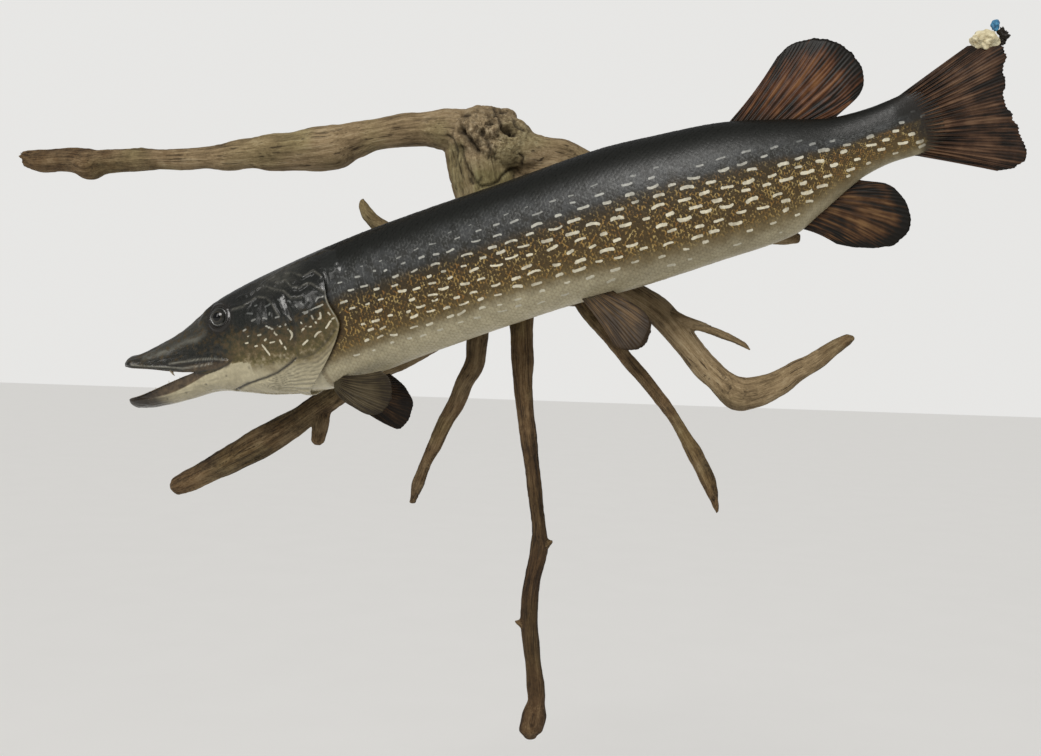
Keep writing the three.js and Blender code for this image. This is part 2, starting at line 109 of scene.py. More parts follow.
def line(table):
    """A smooth curve through a table of [place, value] that takes whole arrays of places."""
    x, y = np.array(table, float).T
    before, after = np.maximum(np.arange(len(x)) - 1, 0), np.minimum(np.arange(len(x)) + 1, len(x) - 1)
    slope = (y[after] - y[before]) / (x[after] - x[before])

    def at(u):
        u = np.clip(np.asarray(u, float), x[0], x[-1])
        i = np.clip(np.searchsorted(x, u) - 1, 0, len(x) - 2)
        d = x[i + 1] - x[i]
        t = (u - x[i]) / d
        return ((2 * t**3 - 3 * t**2 + 1) * y[i] + (t**3 - 2 * t**2 + t) * d * slope[i]
                + (3 * t**2 - 2 * t**3) * y[i + 1] + (t**3 - t**2) * d * slope[i + 1])
    return at


top, belly, width, jaw_width = line(TOP), line(BELLY), line(WIDTH), line(JAW_WIDTH)
lip, jaw_rim, widest, gill_edge = line(LIP), line(JAW_RIM), line(WIDEST), line(GILL_EDGE)


def ease(x, low, high):
    """0 below low, 1 above high, smooth between."""
    t = np.clip((np.asarray(x, float) - low) / (high - low), 0, 1)
    return t * t * (3 - 2 * t)


def fade(x, low, high):
    """1 below low, 0 above high."""
    return 1 - ease(x, low, high)


def blend(a, b, t):
    """a where t is 0, b where t is 1."""
    return a + (b - a) * t


def soft(d, spread):
    """A smooth mark: 1 on a line, fading to nothing at about twice the spread."""
    return np.exp(-(d / spread) ** 2)


def pack(*columns):
    """Columns of numbers side by side, as coordinates or as paint. A single number fills its column."""
    return np.stack(np.broadcast_arrays(*columns), -1)


def run_along(points):
    """How far along a chain of points each one is."""
    return np.concatenate([[0], np.cumsum(np.linalg.norm(np.diff(points, axis=0), axis=1))])


TAIL_SWING, SPINE_WAVE = 9, 3  # the tail end comes this much nearer the wall, and the spine wavers


def place(u, side, w):
    """Fish measures (along, out of the flank, up) to the shared frame, in millimetres."""
    u = np.asarray(u, float)
    spine = SPINE_DEPTH - TAIL_SWING * ease(u, 600, 900) + SPINE_WAVE * np.sin(u / 150)
    c, s = math.cos(TILT), math.sin(TILT)
    return pack(SNOUT_X + u * c - w * s, -spine - side, SNOUT_Z + u * s + w * c)


print("girth at the shoulder about", int(2 * (top(300) - belly(300)) + 100), "mm")

# %% [markdown]
# ## One cross section
# A pike is deeper than wide and its sides are flat, so a section is a squared oval. The angle runs from
# the widest level of the near flank (0) over the back (90) to the far flank (180) and the belly (270).
# Where the mouth is open the section is in two halves: skull above and lower jaw below.

# %% Cross section
BACK_CLIMB, BELLY_CLIMB = 0.93, 0.9  # how fast the height grows with the angle
BACK_SQUARE, BELLY_SQUARE = 2.2, 2.5  # 2 would be an ellipse, more is squarer
CLASP = (832, 884)  # from here to here the body closes to an edge inside the tail fin
CLASP_SHARE = 0.8


def climb(angle):
    """Height on a section: 0 at its widest level, 1 on the back, -1 under the belly."""
    sine = np.sin(np.radians(angle))
    return np.where(sine >= 0, np.abs(sine) ** BACK_CLIMB, -np.abs(sine) ** BELLY_CLIMB)


def half_breadth(u):
    """Half the body's breadth at its widest level."""
    return width(u) * (1 - CLASP_SHARE * ease(u, *CLASP))


def level_of_widest(u):
    """The lip's level on the head runs over into the widest level of the body."""
    return blend(lip(u), widest(u), np.clip((u - MOUTH_CORNER) / 45, 0, 1))


def section(u, angle, part="body"):
    """Returns place, outward normal, level w and relative height t for arrays of u and angle."""
    u, angle = np.broadcast_arrays(np.asarray(u, float), np.asarray(angle, float))

    def at(u, angle):
        t = climb(angle)
        over = t >= 0
        if part == "jaw":
            mid, half = jaw_rim(u), jaw_width(u)
        elif part == "skull":
            mid, half = lip(u), width(u)
        else:
            mid, half = level_of_widest(u), half_breadth(u)
        w = mid + t * np.where(over, top(u) - mid, mid - belly(u))
        power = np.where(over, BACK_SQUARE, BELLY_SQUARE)
        across = np.sign(np.cos(np.radians(angle)))
        side = across * half * np.clip(1 - np.abs(t) ** power, 0, 1) ** (1 / power)
        return place(u, side, w), w, t

    point, w, t = at(u, angle)
    along = at(u + 0.4, angle)[0] - at(u - 0.4, angle)[0]
    around = at(u, angle + 0.6)[0] - at(u, angle - 0.6)[0]
    normal = np.cross(along, around)
    normal /= np.maximum(np.linalg.norm(normal, axis=-1, keepdims=True), 1e-9)
    out = point - place(u, 0, (top(u) + belly(u)) / 2)
    if part != "body":
        out = point - place(u, 0, lip(u) if part == "skull" else jaw_rim(u))
    normal *= np.where((normal * out).sum(-1, keepdims=True) < 0, -1, 1)
    return point, normal, w, t


def uneven(points, seed=0):
    """Soft repeatable unevenness between -1 and 1 at every point (value noise)."""
    cell = np.floor(points).astype(np.int64)
    f = points - cell
    f = f * f * (3 - 2 * f)
    total = 0
    for corner in np.ndindex(2, 2, 2):
        n = ((cell[..., 0] + corner[0]) * 374761393 + (cell[..., 1] + corner[1]) * 668265263
             + (cell[..., 2] + corner[2]) * 1440662683 + seed * 362437) & 0xFFFFFFFF
        n = ((n ^ (n >> 13)) * 1274126177) & 0xFFFFFFFF
        value = ((n ^ (n >> 16)) & 0xFFFF) / 32767.5 - 1
        share = np.prod([f[..., k] if corner[k] else 1 - f[..., k] for k in range(3)], axis=0)
        total = total + value * share
    return total


def away(u, w, path):
    """Distance from each (u, w) to a drawn line, and how far along the line that is (0 to 1)."""
    best, where, run = np.full(np.shape(u), 1e9), np.zeros(np.shape(u)), 0.0
    total = sum(math.dist(a, b) for a, b in zip(path, path[1:]))
    for (u0, w0), (u1, w1) in zip(path, path[1:]):
        length = math.hypot(u1 - u0, w1 - w0)
        k = np.clip(((u - u0) * (u1 - u0) + (w - w0) * (w1 - w0)) / length**2, 0, 1)
        d = np.hypot(u - u0 - k * (u1 - u0), w - w0 - k * (w1 - w0))
        near = d < best
        best, where = np.where(near, d, best), np.where(near, (run + k * length) / total, where)
        run += length
    return best, where


def drawn(u, w, path, spread):
    """A soft mark along a drawn line."""
    return soft(away(u, w, path)[0], spread)


def mound(x, y, at_x, at_y, wide, high):
    """A soft round mark about a place."""
    return np.exp(-((x - at_x) / wide) ** 2 - ((y - at_y) / high) ** 2)


# %% [markdown]
# ## What gives the head its character
# Under a pike's skin lie bones that show: the brow, the long upper-jaw bone (maxilla) with a second
# splint above it, the cheek muscle, the groove behind the cheek, the gill cover, and the ribbed membrane
# below. They could be sculpted with brushes. Drawing each one as a line with a height and a spread does
# the same in a way that can be read and corrected.

# %% Bones and folds of the head
EYE_U, EYE_W, EYE_RADIUS = 127.0, 11.5, 9.5
BROW = [(102, 12), (110, 23), (119, 26.5), (130, 23), (140, 17.5), (163, 15)]
SNOUT_RIDGE = [(30, -5), (57, -6), (82, -2), (95, -4), (106, 1)]
SPLINT_BONE = [(58, -19.5), (75, -22), (92, -24.5), (108, -28), (120, -32.5)]
SPLINT_GROOVE = [(38, -15), (61, -22), (85, -27.5), (102, -30), (118, -33)]
MAXILLA = [(60, -24), (78, -29.5), (95, -33.5), (110, -36), (124, -37)]
CHEEK_RIDGE = [(146, 14), (159.4, 13), (176.3, 19), (187.9, 14), (193.1, 6), (198.4, -9)]
CHEEK_GROOVE = [(207.9, 10), (210.0, -9), (211.1, -23), (207.9, -35), (204, -44), (203, -52)]
JOINT_CREASE = [(118, -66), (142, -64), (161, -64), (175, -63), (189, -59), (196, -57), (202, -54)]
COVER_GROOVE = [(202, -55), (212, -56), (224, -55), (239, -48), (252, -39)]
NAPE_WRINKLES = [[(199.5, 27), (211.1, 27), (217.4, 17), (225.5, 13), (235.5, 15), (240.5, 13), (253.5, 0)],
                 [(211.1, 34), (221.5, 31), (231.5, 24), (243.5, 27), (251.5, 18)],
                 [(187.9, 27), (198.4, 20), (207.9, 16), (216.3, 5), (227.5, 3)],
                 [(152.0, 24), (168.9, 26), (184.7, 30), (200.5, 37)]]
NEAR_LIP = [(-6, -44), (11, -46), (27, -49), (49, -50), (76, -46.5), (98, -42), (123, -38.5), (129, -36)]
LIP_EDGE = [(14, -8.5), (34, -15.5), (56, -22.5), (72, -28.5), (90, -31.0), (108, -33.2)]
MOUTH_SEAM = [(84, -37), (98, -41.5), (112, -41), (124, -38.8), (130, -36.5)]
near_lip, mouth_seam = line(NEAR_LIP), line(MOUTH_SEAM)
membrane_top = line([[118, -66], [161, -64], [189, -59], [202, -55], [224, -55], [239, -48], [256, -38]])
PORES = [(147, -49), (161, -52), (118, -50), (92, -52), (66, -54), (42, -54.5), (20, -52), (100, 20),
         (97, 16), (88, 9), (176, -52), (190, -50)]


def ribs(u, w):
    """The rays of the gill membrane fan back from the jaw joint: 0 in the valleys to 1 on the ridges."""
    share = np.clip((membrane_top(u) - w) / np.maximum(membrane_top(u) - belly(u), 1), 0, 1.2)
    level = share.copy()
    for _ in range(4):
        start = 146 + (1 - np.clip(level, 0, 1)) * 42
        level = share / np.clip(1 - np.exp(-np.maximum(u - start, 0.5) / 15), 0.05, 1)
    level = np.clip(level, 0, 1.3)
    on = ease(share, 0.02, 0.1) * ease(u, 142, 158) * fade(level, 1.02, 1.15)
    phase = level * 9.5 + 0.4 + 0.35 * uneven(pack(u / 16, level * 3, 0), 21)
    return (0.5 + 0.5 * np.cos(2 * math.pi * phase)) * on, on


# a turn of the noise, so that no fold of loose skin follows an axis
LEAN = np.array([[0.61, 0.48, -0.63], [-0.79, 0.37, -0.49], [0.0, 0.80, 0.60]])


def head_relief(u, w, t, point):
    """Height of bones and folds over the plain section, in millimetres."""
    h = 1.5 * drawn(u, w, BROW, 3.2) + 0.8 * drawn(u, w, SNOUT_RIDGE, 2.6)
    h += 0.9 * drawn(u, w, SPLINT_BONE, 2.6) - 0.9 * drawn(u, w, SPLINT_GROOVE, 1.2)
    d, k = away(u, w, MAXILLA)
    plate = 1 - ease(d, blend(3.4, 2.8, k), blend(5.2, 4.2, k))
    h += 1.5 * plate * ease(k, 0, 0.25)
    h += 0.8 * drawn(u, w, CHEEK_RIDGE, 2.0) - 1.5 * drawn(u, w, CHEEK_GROOVE, 2.4)
    h += 0.8 * drawn(u + 6, w, CHEEK_GROOVE, 3.0)
    h += 1.8 * mound(u, w, 166, -14, 25, 19)
    h += 0.9 * mound(u, w, 231, -18, 17, 24)
    h -= 1.4 * mound(u, w, 88, 5, 18, 9)
    jag = 1.6 * uneven(point / 5.0, 3)
    h -= 1.9 * drawn(u, w + jag * 0.8, JOINT_CREASE, 1.3)
    h -= 1.3 * drawn(u, w + jag * 0.4, COVER_GROOVE, 1.6)
    for n, wrinkle in enumerate(NAPE_WRINKLES):
        h += 1.1 * drawn(u, w + jag, wrinkle, 1.2) - 0.6 * drawn(u, w + jag + 4, wrinkle, 2.0)
    rib, on = ribs(u, w)
    h += (1.15 * rib - 0.5) * on
    h += 1.7 * np.exp(-((u - 9) / 7) ** 2) * (t >= 0)
    loose = ease(u, 140, 190) * ease(t, -0.05, 0.2) * fade(t, 0.7, 0.9)
    leaning = point @ LEAN
    wander = w + 3.4 * uneven(leaning / 8.0, 31) + 0.16 * (u - 225)
    crumple = 1 - np.abs(uneven(pack(u / 15, wander / 4.6, t * 2.5), 11)) * 2
    small = 1 - np.abs(uneven(pack(u / 6, wander / 2.3, t * 5), 12)) * 2
    streaks = uneven(pack(u / 14, w / 2.2, point[..., 1] / 2.2), 6)
    patchy = (0.2 + 0.9 * ease(uneven(leaning / 17.0, 14), -0.4, 0.5)) * (0.35 + 0.65 * ease(t, 0.2, 0.42))
    h += loose * patchy * (0.75 * crumple + 0.4 * small)
    h += blend(0.4 * streaks, 0.16 * uneven(point / 2.4, 5), ease(u, 100, 125))
    for pu, pw in PORES:
        h -= 0.8 * soft(np.hypot(u - pu, w - pw), 1.1)
    eye = np.hypot(u - EYE_U, w - EYE_W)
    h += 0.9 * soft(eye - 12.4, 1.8) - 0.5 * soft(eye - 15.2, 1.5)
    h = np.where(eye < 10.6, blend(-6.5, 0.4, ease(eye, 8.4, 10.6)), h)
    return h


# %% [markdown]
# ## The skin
# One skin covers body, head, jaws, mouth and gill covers, so that no seam shows. The rows of points
# around the fish are close together on the head and wider apart under the scales. The columns lean so
# that one of them runs exactly along the rear edge of the gill cover: there the skin rises, turns under
# and comes back out on the shoulder, as the real flap does.

# %% Skin rows
NEAR_STEPS, FAR_STEPS = 60, 42  # points per quarter turn on the near and the far flank
ANGLES = np.concatenate([np.linspace(-90, 0, NEAR_STEPS, False), np.linspace(0, 90, NEAR_STEPS, False),
                         np.linspace(90, 180, FAR_STEPS, False), np.linspace(180, 270, FAR_STEPS, False)])
ROUND = len(ANGLES)
NEAR_CORNER, FAR_CORNER = NEAR_STEPS, 2 * NEAR_STEPS + FAR_STEPS
COAT_DEPTH = 0.95  # the skin lies this far inside the solids where scales cover it
HEIGHTS = section(400.0, ANGLES)[3]
EDGE = gill_edge(np.minimum(HEIGHTS, 0.75))
FLAP = 1 - ease(HEIGHTS, 0.3, 0.6)  # the flap ends below the nape


def scales_from(t):
    """Where the scales begin: on the gill edge, and further back over the wrinkled nape."""
    return gill_edge(np.minimum(t, 0.75)) + 1 + 16 * ease(t, 0.3, 0.5) * fade(t, 0.82, 0.95)


# (along, out) of the gill flap's edge and of what lies under it
FOLD = [(-1.2, 2.6), (-0.4, 2.75), (0.1, 2.2), (-0.2, 1.2), (-2.6, 0.5), (-4.2, -0.7), (-2.0, -1.7),
        (1.5, -1.6), (5.0, -1.1)]
pools, faces, count = [], [], 0  # what has been laid so far: points with notes, quads, points so far


def quads_of(index, closed=False):
    """The quads of a grid of point numbers. closed joins the last column to the first."""
    right = np.roll(index, -1, 1) if closed else index[:, 1:]
    left = index if closed else index[:, :-1]
    return pack(left[:-1], right[:-1], right[1:], left[1:]).reshape(-1, 4)


def lay_grid(points, notes, closed):
    """Adds a grid of points with its quads. notes holds (u, w, t, side, kind) for the paint."""
    global count
    rows, cols = points.shape[:2]
    index = count + np.arange(rows * cols).reshape(rows, cols)
    pools.append(np.concatenate([points.reshape(-1, 3), notes.reshape(-1, 5)], 1))
    count += rows * cols
    faces.append(quads_of(index, closed))
    return index


SKULL, JAW, CHEEK, BODY, LINING = 1, 2, 3, 4, 5  # the kinds of skin that the painter tells apart


def flank_of(angle):
    """1 on the near (left) flank, -1 on the far one."""
    return np.where(np.cos(np.radians(angle)) >= 0, 1.0, -1.0)


def notes_for(u, w, t, angle, kind):
    return pack(u, w, t, flank_of(angle), float(kind))


# %% Skull and lower jaw in front of the mouth's corner
GAPE_STEPS = 88
BLUNT = 2.6  # the front edges are rounded by this much as seen from above
SKIN_DEPTH = 0.15  # bare skin lies this far inside the solids
reach = np.linspace(0, 1, GAPE_STEPS) ** 1.12


def gape_half(part, u_line, angles):
    u, a = np.meshgrid(u_line, angles, indexing="ij")
    outward = np.abs(np.cos(np.radians(a)))
    u = u + BLUNT * fade(u, u_line[0], u_line[0] + 14) * outward**2
    point, normal, w, t = section(u, a, part)
    h = head_relief(u, w, t, point) * ease(u, u_line[0], u_line[0] + 10)
    if part == "jaw":
        gum = ease(w - near_lip(u), -0.6, 0.9) * ease(u, -2, 8)
        h -= 1.7 * gum
    else:
        h = h * ease(1 - outward, 0.0, 0.02)
    h = h * (1 - soft(outward - 1, 0.0004))  # nothing is raised on the very lip, where two grids meet
    notes = notes_for(u, w, t, a, SKULL if part == "skull" else JAW)
    return point + normal * (h - SKIN_DEPTH)[..., None], notes


u_skull = reach * MOUTH_CORNER
u_jaw = -6 + reach * (MOUTH_CORNER + 6)
over = ANGLES[NEAR_CORNER:FAR_CORNER + 1]
under = np.concatenate([ANGLES[FAR_CORNER:], ANGLES[:NEAR_CORNER + 1] + 360])
skull_points, skull_notes = gape_half("skull", u_skull, over)
jaw_points, jaw_notes = gape_half("jaw", u_jaw, under)
skull_grid = lay_grid(skull_points, skull_notes, False)
jaw_grid = lay_grid(jaw_points, jaw_notes, False)
print("gape rows", GAPE_STEPS, "points around", ROUND)

# %% Head, gill cover and shoulder
FLAP_LIFT = 2.6  # the flap's free edge stands this far off the shoulder
COVER_FROM, SHOULDER_END = 170, 300  # rows lean to the gill edge between these two places
cheek = np.linspace(MOUTH_CORNER, COVER_FROM, 102)[:, None] + 0 * EDGE
cover = COVER_FROM + (EDGE - 1.2 - COVER_FROM) * np.linspace(0, 1, 90)[1:-1, None]
flat_steps = np.linspace(-1.2, 5, len(FOLD))
fold_u = EDGE + np.array([blend(flat, fold[0], FLAP) for flat, fold in zip(flat_steps, FOLD)])
SHOULDER_STEPS = np.linspace(0, 1, 26)[1:, None] ** 1.15
shoulder = (EDGE + 5) + (SHOULDER_END - EDGE - 5) * SHOULDER_STEPS
columns = np.concatenate([cheek, cover, fold_u, shoulder])
point, normal, w, t = section(columns, ANGLES)
own = head_relief(columns, w, t, point) - SKIN_DEPTH
lap = np.clip((columns - 186) / (EDGE - 186), 0, 1)
first_fold = len(cheek) + len(cover)
calm = FLAP * ease(np.arange(len(columns)), first_fold - 3, first_fold + 2)[:, None]
h = (own + FLAP_LIFT * np.sqrt(lap) * FLAP) * (1 - calm) + FLAP_LIFT * FLAP * calm
for n, (_, out) in enumerate(FOLD):
    h[first_fold + n] = blend(own[first_fold + n], out - 0.1, FLAP)
last_fold = first_fold + len(FOLD) - 1
under_scales = ease(columns, scales_from(HEIGHTS), scales_from(HEIGHTS) + 5)[last_fold + 1:]
h[last_fold + 1:] = blend(blend(own[last_fold + 1:], h[last_fold], FLAP), -COAT_DEPTH,
                          blend(under_scales, ease(SHOULDER_STEPS, 0, 0.5), FLAP))
corner_calm = ease(columns, MOUTH_CORNER, MOUTH_CORNER + 2.5)
at_corner = np.abs(np.cos(np.radians(ANGLES))) > 0.9999
h = np.where(at_corner & (columns < 88), h * corner_calm, h)
head_points = point + normal * h[..., None]
# the first column is the last one of the two halves
head_points[0, NEAR_CORNER:FAR_CORNER + 1] = skull_points[-1]
head_points[0, FAR_CORNER:] = jaw_points[-1, :ROUND - FAR_CORNER]
head_points[0, :NEAR_CORNER + 1] = jaw_points[-1, ROUND - FAR_CORNER:]
for c, k in ((NEAR_CORNER, 0), (FAR_CORNER, -1)):
    head_points[0, c] = skull_points[-1, k]
jaw_points[-1, 0], jaw_points[-1, -1] = head_points[0, FAR_CORNER], head_points[0, NEAR_CORNER]
pools[-1][jaw_grid[-1, 0] - jaw_grid[0, 0], :3] = jaw_points[-1, 0]
pools[-1][jaw_grid[-1, -1] - jaw_grid[0, 0], :3] = jaw_points[-1, -1]
head_notes = notes_for(columns, w, t, ANGLES, CHEEK)
head_notes[first_fold + 3:, :, 4] = BODY
head_grid = lay_grid(head_points, head_notes, True)

# %% Body and tail stalk, with half as many points around
trunk_u = np.concatenate([np.linspace(SHOULDER_END, 838, 130)[1:], np.linspace(838, 883, 18)[1:]])
u2, a2 = np.meshgrid(trunk_u, ANGLES[::2], indexing="ij")
point, normal, w, t = section(u2, a2)
trunk_grid = lay_grid(point - normal * COAT_DEPTH, notes_for(u2, w, t, a2, BODY), True)
half_round = ROUND // 2
step = np.arange(half_round)
fine, coarse = head_grid[-1], trunk_grid[0]
stitches = [(fine[2 * k], fine[2 * k + 1], coarse[k]) for k in step]
stitches += [(fine[2 * k + 1], coarse[(k + 1) % half_round], coarse[k]) for k in step]
stitches += [(fine[2 * k + 1], fine[(2 * k + 2) % ROUND], coarse[(k + 1) % half_round]) for k in step]
print("body columns", len(trunk_u))

# %% [markdown]
# ## Inside the mouth
# The palate and the mouth's floor are part of the same skin. Each starts on the lip, rounds over it,
# and is hollow in the middle. Behind the corner they run on into a short throat and meet there.

# %% Mouth lining
ACROSS = 36
kappa = np.sin(np.linspace(math.pi / 2, -math.pi / 2, ACROSS + 1))  # from one lip (1) to the other (-1)
THROAT_END = 122
throat_u = np.linspace(MOUTH_CORNER, THROAT_END, 24)[1:]


def lining(part, u_open, direction):
    """The palate (direction 1) or the mouth's floor (direction -1), with its places along and levels."""
    rim_line, half_line = (lip, width) if part == "skull" else (jaw_rim, jaw_width)
    u = np.concatenate([u_open, throat_u])
    close = ease(u, MOUTH_CORNER, THROAT_END)
    half = np.where(u <= MOUTH_CORNER, half_line(np.minimum(u, MOUTH_CORNER)), 0)
    half = np.where(u > MOUTH_CORNER, blend(23.5, 7, close), half)[:, None]
    rim = np.where(u <= MOUTH_CORNER, rim_line(np.minimum(u, MOUTH_CORNER)), lip(u) + 1.5)[:, None]
    edge = (1 - np.abs(kappa)) * half
    open_share = ease(lip(np.minimum(u, 84)) - jaw_rim(np.minimum(u, 84)), 0.5, 7)[:, None]
    deep = ease(u, u_open[0] + 3, u_open[0] + 26)[:, None] * (1 - ease(u, 96, THROAT_END)[:, None])
    lobe = 0.9 * soft(edge - 1.3, 1.0) * ease(edge, 0, 0.6) * open_share
    hollow = (6.5 if part == "skull" else 8.0) * deep * ease(edge, 2.5, 13)
    w = rim - direction * lobe + direction * hollow
    if part == "jaw":
        tongue = ease(u, 22, 40) * fade(u, 92, 118)
        w = w + (4.5 * tongue)[:, None] * fade(np.abs(kappa * half), 3.5, 8.5)
        w = w + 1.3 * deep * soft(edge - 4.2, 1.5)
    w = np.where(u[:, None] > MOUTH_CORNER + 36.5, rim, w)
    full_u = u[:, None] + 0 * w
    round_front = BLUNT * fade(full_u, u_open[0], u_open[0] + 14) * fade(edge, 0, 4)
    points = place(full_u + round_front, kappa * half, w)
    points[..., 2] += 0.35 * uneven(points / 2.5, 8) * ease(edge, 3, 7) * deep
    return points, u, w


palate, lining_u, palate_w = lining("skull", u_skull, 1)
mouth_floor, floor_u, floor_w = lining("jaw", u_jaw, -1)
palate[:GAPE_STEPS, 0], palate[:GAPE_STEPS, -1] = skull_points[:, 0], skull_points[:, -1]
mouth_floor[:GAPE_STEPS, -1], mouth_floor[:GAPE_STEPS, 0] = jaw_points[:, 0], jaw_points[:, -1]
mouth_floor[GAPE_STEPS:, 0], mouth_floor[GAPE_STEPS:, -1] = palate[GAPE_STEPS:, 0], palate[GAPE_STEPS:, -1]
mouth_floor[-1] = palate[-1]
lining_grids = []
for points, u, w in ((palate, lining_u, palate_w), (mouth_floor, floor_u, floor_w)):
    notes = pack(u[:, None], w, 0.0, np.sign(kappa + 1e-6), float(LINING))
    lining_grids.append(lay_grid(points, notes, False))
palate_grid, floor_grid = lining_grids
print("throat ends", round(float(lining_u[-1])), "mm from the snout")

# %% Join the grids into one skin
def mesh_piece(name, points, polygons):
    """A smooth mesh object at the origin from points in millimetres."""
    mesh = bpy.data.meshes.new(name)
    mesh.from_pydata((np.asarray(points, float) * MM).tolist(), [], polygons)
    mesh.update()
    mesh.polygons.foreach_set("use_smooth", [True] * len(mesh.polygons))
    return add_object(name, mesh)


def only(piece):
    """Makes one piece the only selected and the active one, as every operator expects."""
    bpy.ops.object.select_all(action="DESELECT")
    piece.select_set(True)
    bpy.context.view_layer.objects.active = piece


def face_out(piece):
    """Turns all faces outwards."""
    only(piece)
    bpy.ops.object.mode_set(mode="EDIT")
    bpy.ops.mesh.select_all(action="SELECT")
    bpy.ops.mesh.normals_make_consistent(inside=False)
    bpy.ops.object.mode_set(mode="OBJECT")


pool = np.concatenate(pools)
# points that lie on one another, where two grids meet, become one
_, first, merged = np.unique(np.round(pool[:, :3], 3), axis=0, return_index=True, return_inverse=True)
merged = merged.reshape(-1)
pool = pool[first]
polygons = [tuple(f) for f in merged[np.concatenate(faces)].tolist()]
polygons += [tuple(merged[i] for i in f) for f in stitches]
polygons.append(tuple(merged[trunk_grid[-1]]))
polygons.append(tuple(merged[skull_grid[0]]) + tuple(merged[palate_grid[0, ::-1]])[1:-1])
polygons.append(tuple(merged[jaw_grid[0]]) + tuple(merged[floor_grid[0]])[1:-1])
tidy = []
for f in polygons:
    f = [int(v) for n, v in enumerate(f) if v != f[n - 1]]
    if len(set(f)) >= 3:
        tidy.append(tuple(f))
skin = mesh_piece("pike_skin", pool[:, :3], tidy)
face_out(skin)
print("skin triangles", sum(len(p.vertices) - 2 for p in skin.data.polygons))

# %% [markdown]
# ## Where the paint goes
# A painter works over the cured skin with an airbrush and a fine brush: black olive back, golden flank
# with rows of cream beans, pale belly, cream worms on the cheek. The masks below say, for any point of
# skin or scale, how high it is on the flank, and how much bean, brown, dark line or pale line lies on
# it; the dark lines are partly painted shade in creases, the pale lines partly painted highlights on
# ridges. Skin and scales ask the same functions, so the markings run through both.

# %% Bean marks along the flanks
BEAN_ROWS, ROW_PITCH, LOWEST_ROW = 15, 9.1, -68
brush = np.random.default_rng(12)
beans = []  # (u, w, length, height, tilt, bend, strength, flank)
for flank in (1, -1):
    for row in range(BEAN_ROWS):
        level = LOWEST_ROW + row * ROW_PITCH
        u = 268 + (row % 2) * 11 + brush.uniform(-4, 4)
        while u < 868:
            pitch = blend(17, 23, float(ease(u, 280, 520)))
            rise = blend(1.0, 0.82, float(ease(u, 690, 820)))
            size = blend(7.0, 12.0, float(ease(u, 270, 520))) * blend(1, 0.72, float(ease(u, 720, 800)))
            size = size * brush.uniform(0.6, 1.25)
            if brush.random() > 0.1:
                beans.append((u + brush.uniform(-3, 3), level * rise + brush.uniform(-1.9, 1.9),
                              size, brush.uniform(2.2, 3.6) * blend(0.78, 1.05, float(ease(u, 380, 600))),
                              brush.normal(0, 0.09),
                              brush.uniform(-0.035, 0.035), brush.uniform(0.8, 1.0), flank))
            u += pitch * brush.uniform(0.85, 1.15)
beans = np.array(beans)
print("bean marks:", len(beans))


def bean_share(t):
    """Beans stay whole on the flank and shrink towards belly and back."""
    low = ease(-t, 0.5, 0.8)
    share = fade(t, 0.30, 0.55) * (1 - 0.45 * low) * fade(-t, 0.82, 0.95)
    return share * blend(1, 0.55, ease(t, 0.1, 0.35))


middle_w = level_of_widest(beans[:, 0])
reach_w = np.where(beans[:, 1] > middle_w, top(beans[:, 0]) - middle_w, middle_w - belly(beans[:, 0]))
kept = bean_share((beans[:, 1] - middle_w) / reach_w)
beans[:, 2:4] *= np.clip(kept, 0.05, 1)[:, None] ** 0.45
beans = beans[kept > 0.16]

# the cheek's worms: (u, w, length, tilt in degrees, bend)
WORMS = [(156, -11, 4, 12, 0), (176, -27, 4, 30, 0), (189, -25, 4, -50, 0), (196, -9, 5, -12, 0),
         (203, -19, 3, 40, 0), (212, 3, 4, -20, 0), (228, -14, 4, 10, 0), (246, -33, 5, 35, 0),
         (154, -24, 4, -15, 0), (188, -3, 3, 60, 0), (165.7, 4, 7, -20, 0), (168.9, -4, 5, 7, 0),
         (181.5, -6, 5, -25, 0), (184.7, -17, 11, -39, 0), (160.4, -19, 6, -8, 0), (171.0, -21, 4, -4, 0),
         (195.2, -18, 4, -16, 0), (205.8, -29, 11, -89, 3), (173, -37, 13, -68, 0), (163.6, -30, 3, -1, 0),
         (182.6, -32, 6, -4, 0), (208.9, -13.5, 6, -69, 0), (219.5, -4.5, 4, -60, 0),
         (226.5, -4.5, 4, -47, 0), (236.5, -12.5, 24, 6, -1), (233.5, -1.5, 3, -99, 0),
         (245.5, -3.5, 9, 14, 2), (220.5, -22.5, 2, -60, 0), (233.5, -20.5, 4, -79, 0),
         (240.5, -23.5, 4, -22, 0), (242.5, -19.5, 4, -94, 0), (223.5, -28, 12, 9, 2), (218, -42, 8, 23, 0),
         (234, -37, 10, 24, 1), (251.5, -29, 9, 28, 1), (235.5, -26, 3, -54, 0), (251.5, -21.5, 3, -54, 0),
         (187.9, 6, 7, 6, 0), (201.6, 7.5, 3, -42, 0), (174.1, 10, 3, 1, 0), (195, -41, 4, -71, 0),
         (192.1, -34, 5, -78, 0)]
WORM_HEIGHT, WORM_ENDS = 2.0, 1.4


def strokes(u, w, marks):
    """How far each point is inside a set of short brush strokes: 0.5 on their edges, 1 in the middle."""
    cover = np.zeros(len(u))
    order = np.argsort(u)
    sorted_u = u[order]
    for mu, mw, length, high, tilt, bend, strength in marks:
        near = order[np.searchsorted(sorted_u, mu - length):np.searchsorted(sorted_u, mu + length)]
        du, dw = u[near] - mu, w[near] - mw
        along = du * math.cos(tilt) + dw * math.sin(tilt)
        across = -du * math.sin(tilt) + dw * math.cos(tilt) + bend * (along**2 - (length / 4) ** 2)
        d = np.hypot(np.maximum(np.abs(along) - (length - high) / 2, 0), across) / (high / 2)
        cover[near] = np.maximum(cover[near], strength * np.clip(1 - 0.5 * d, 0, 1))
    return cover


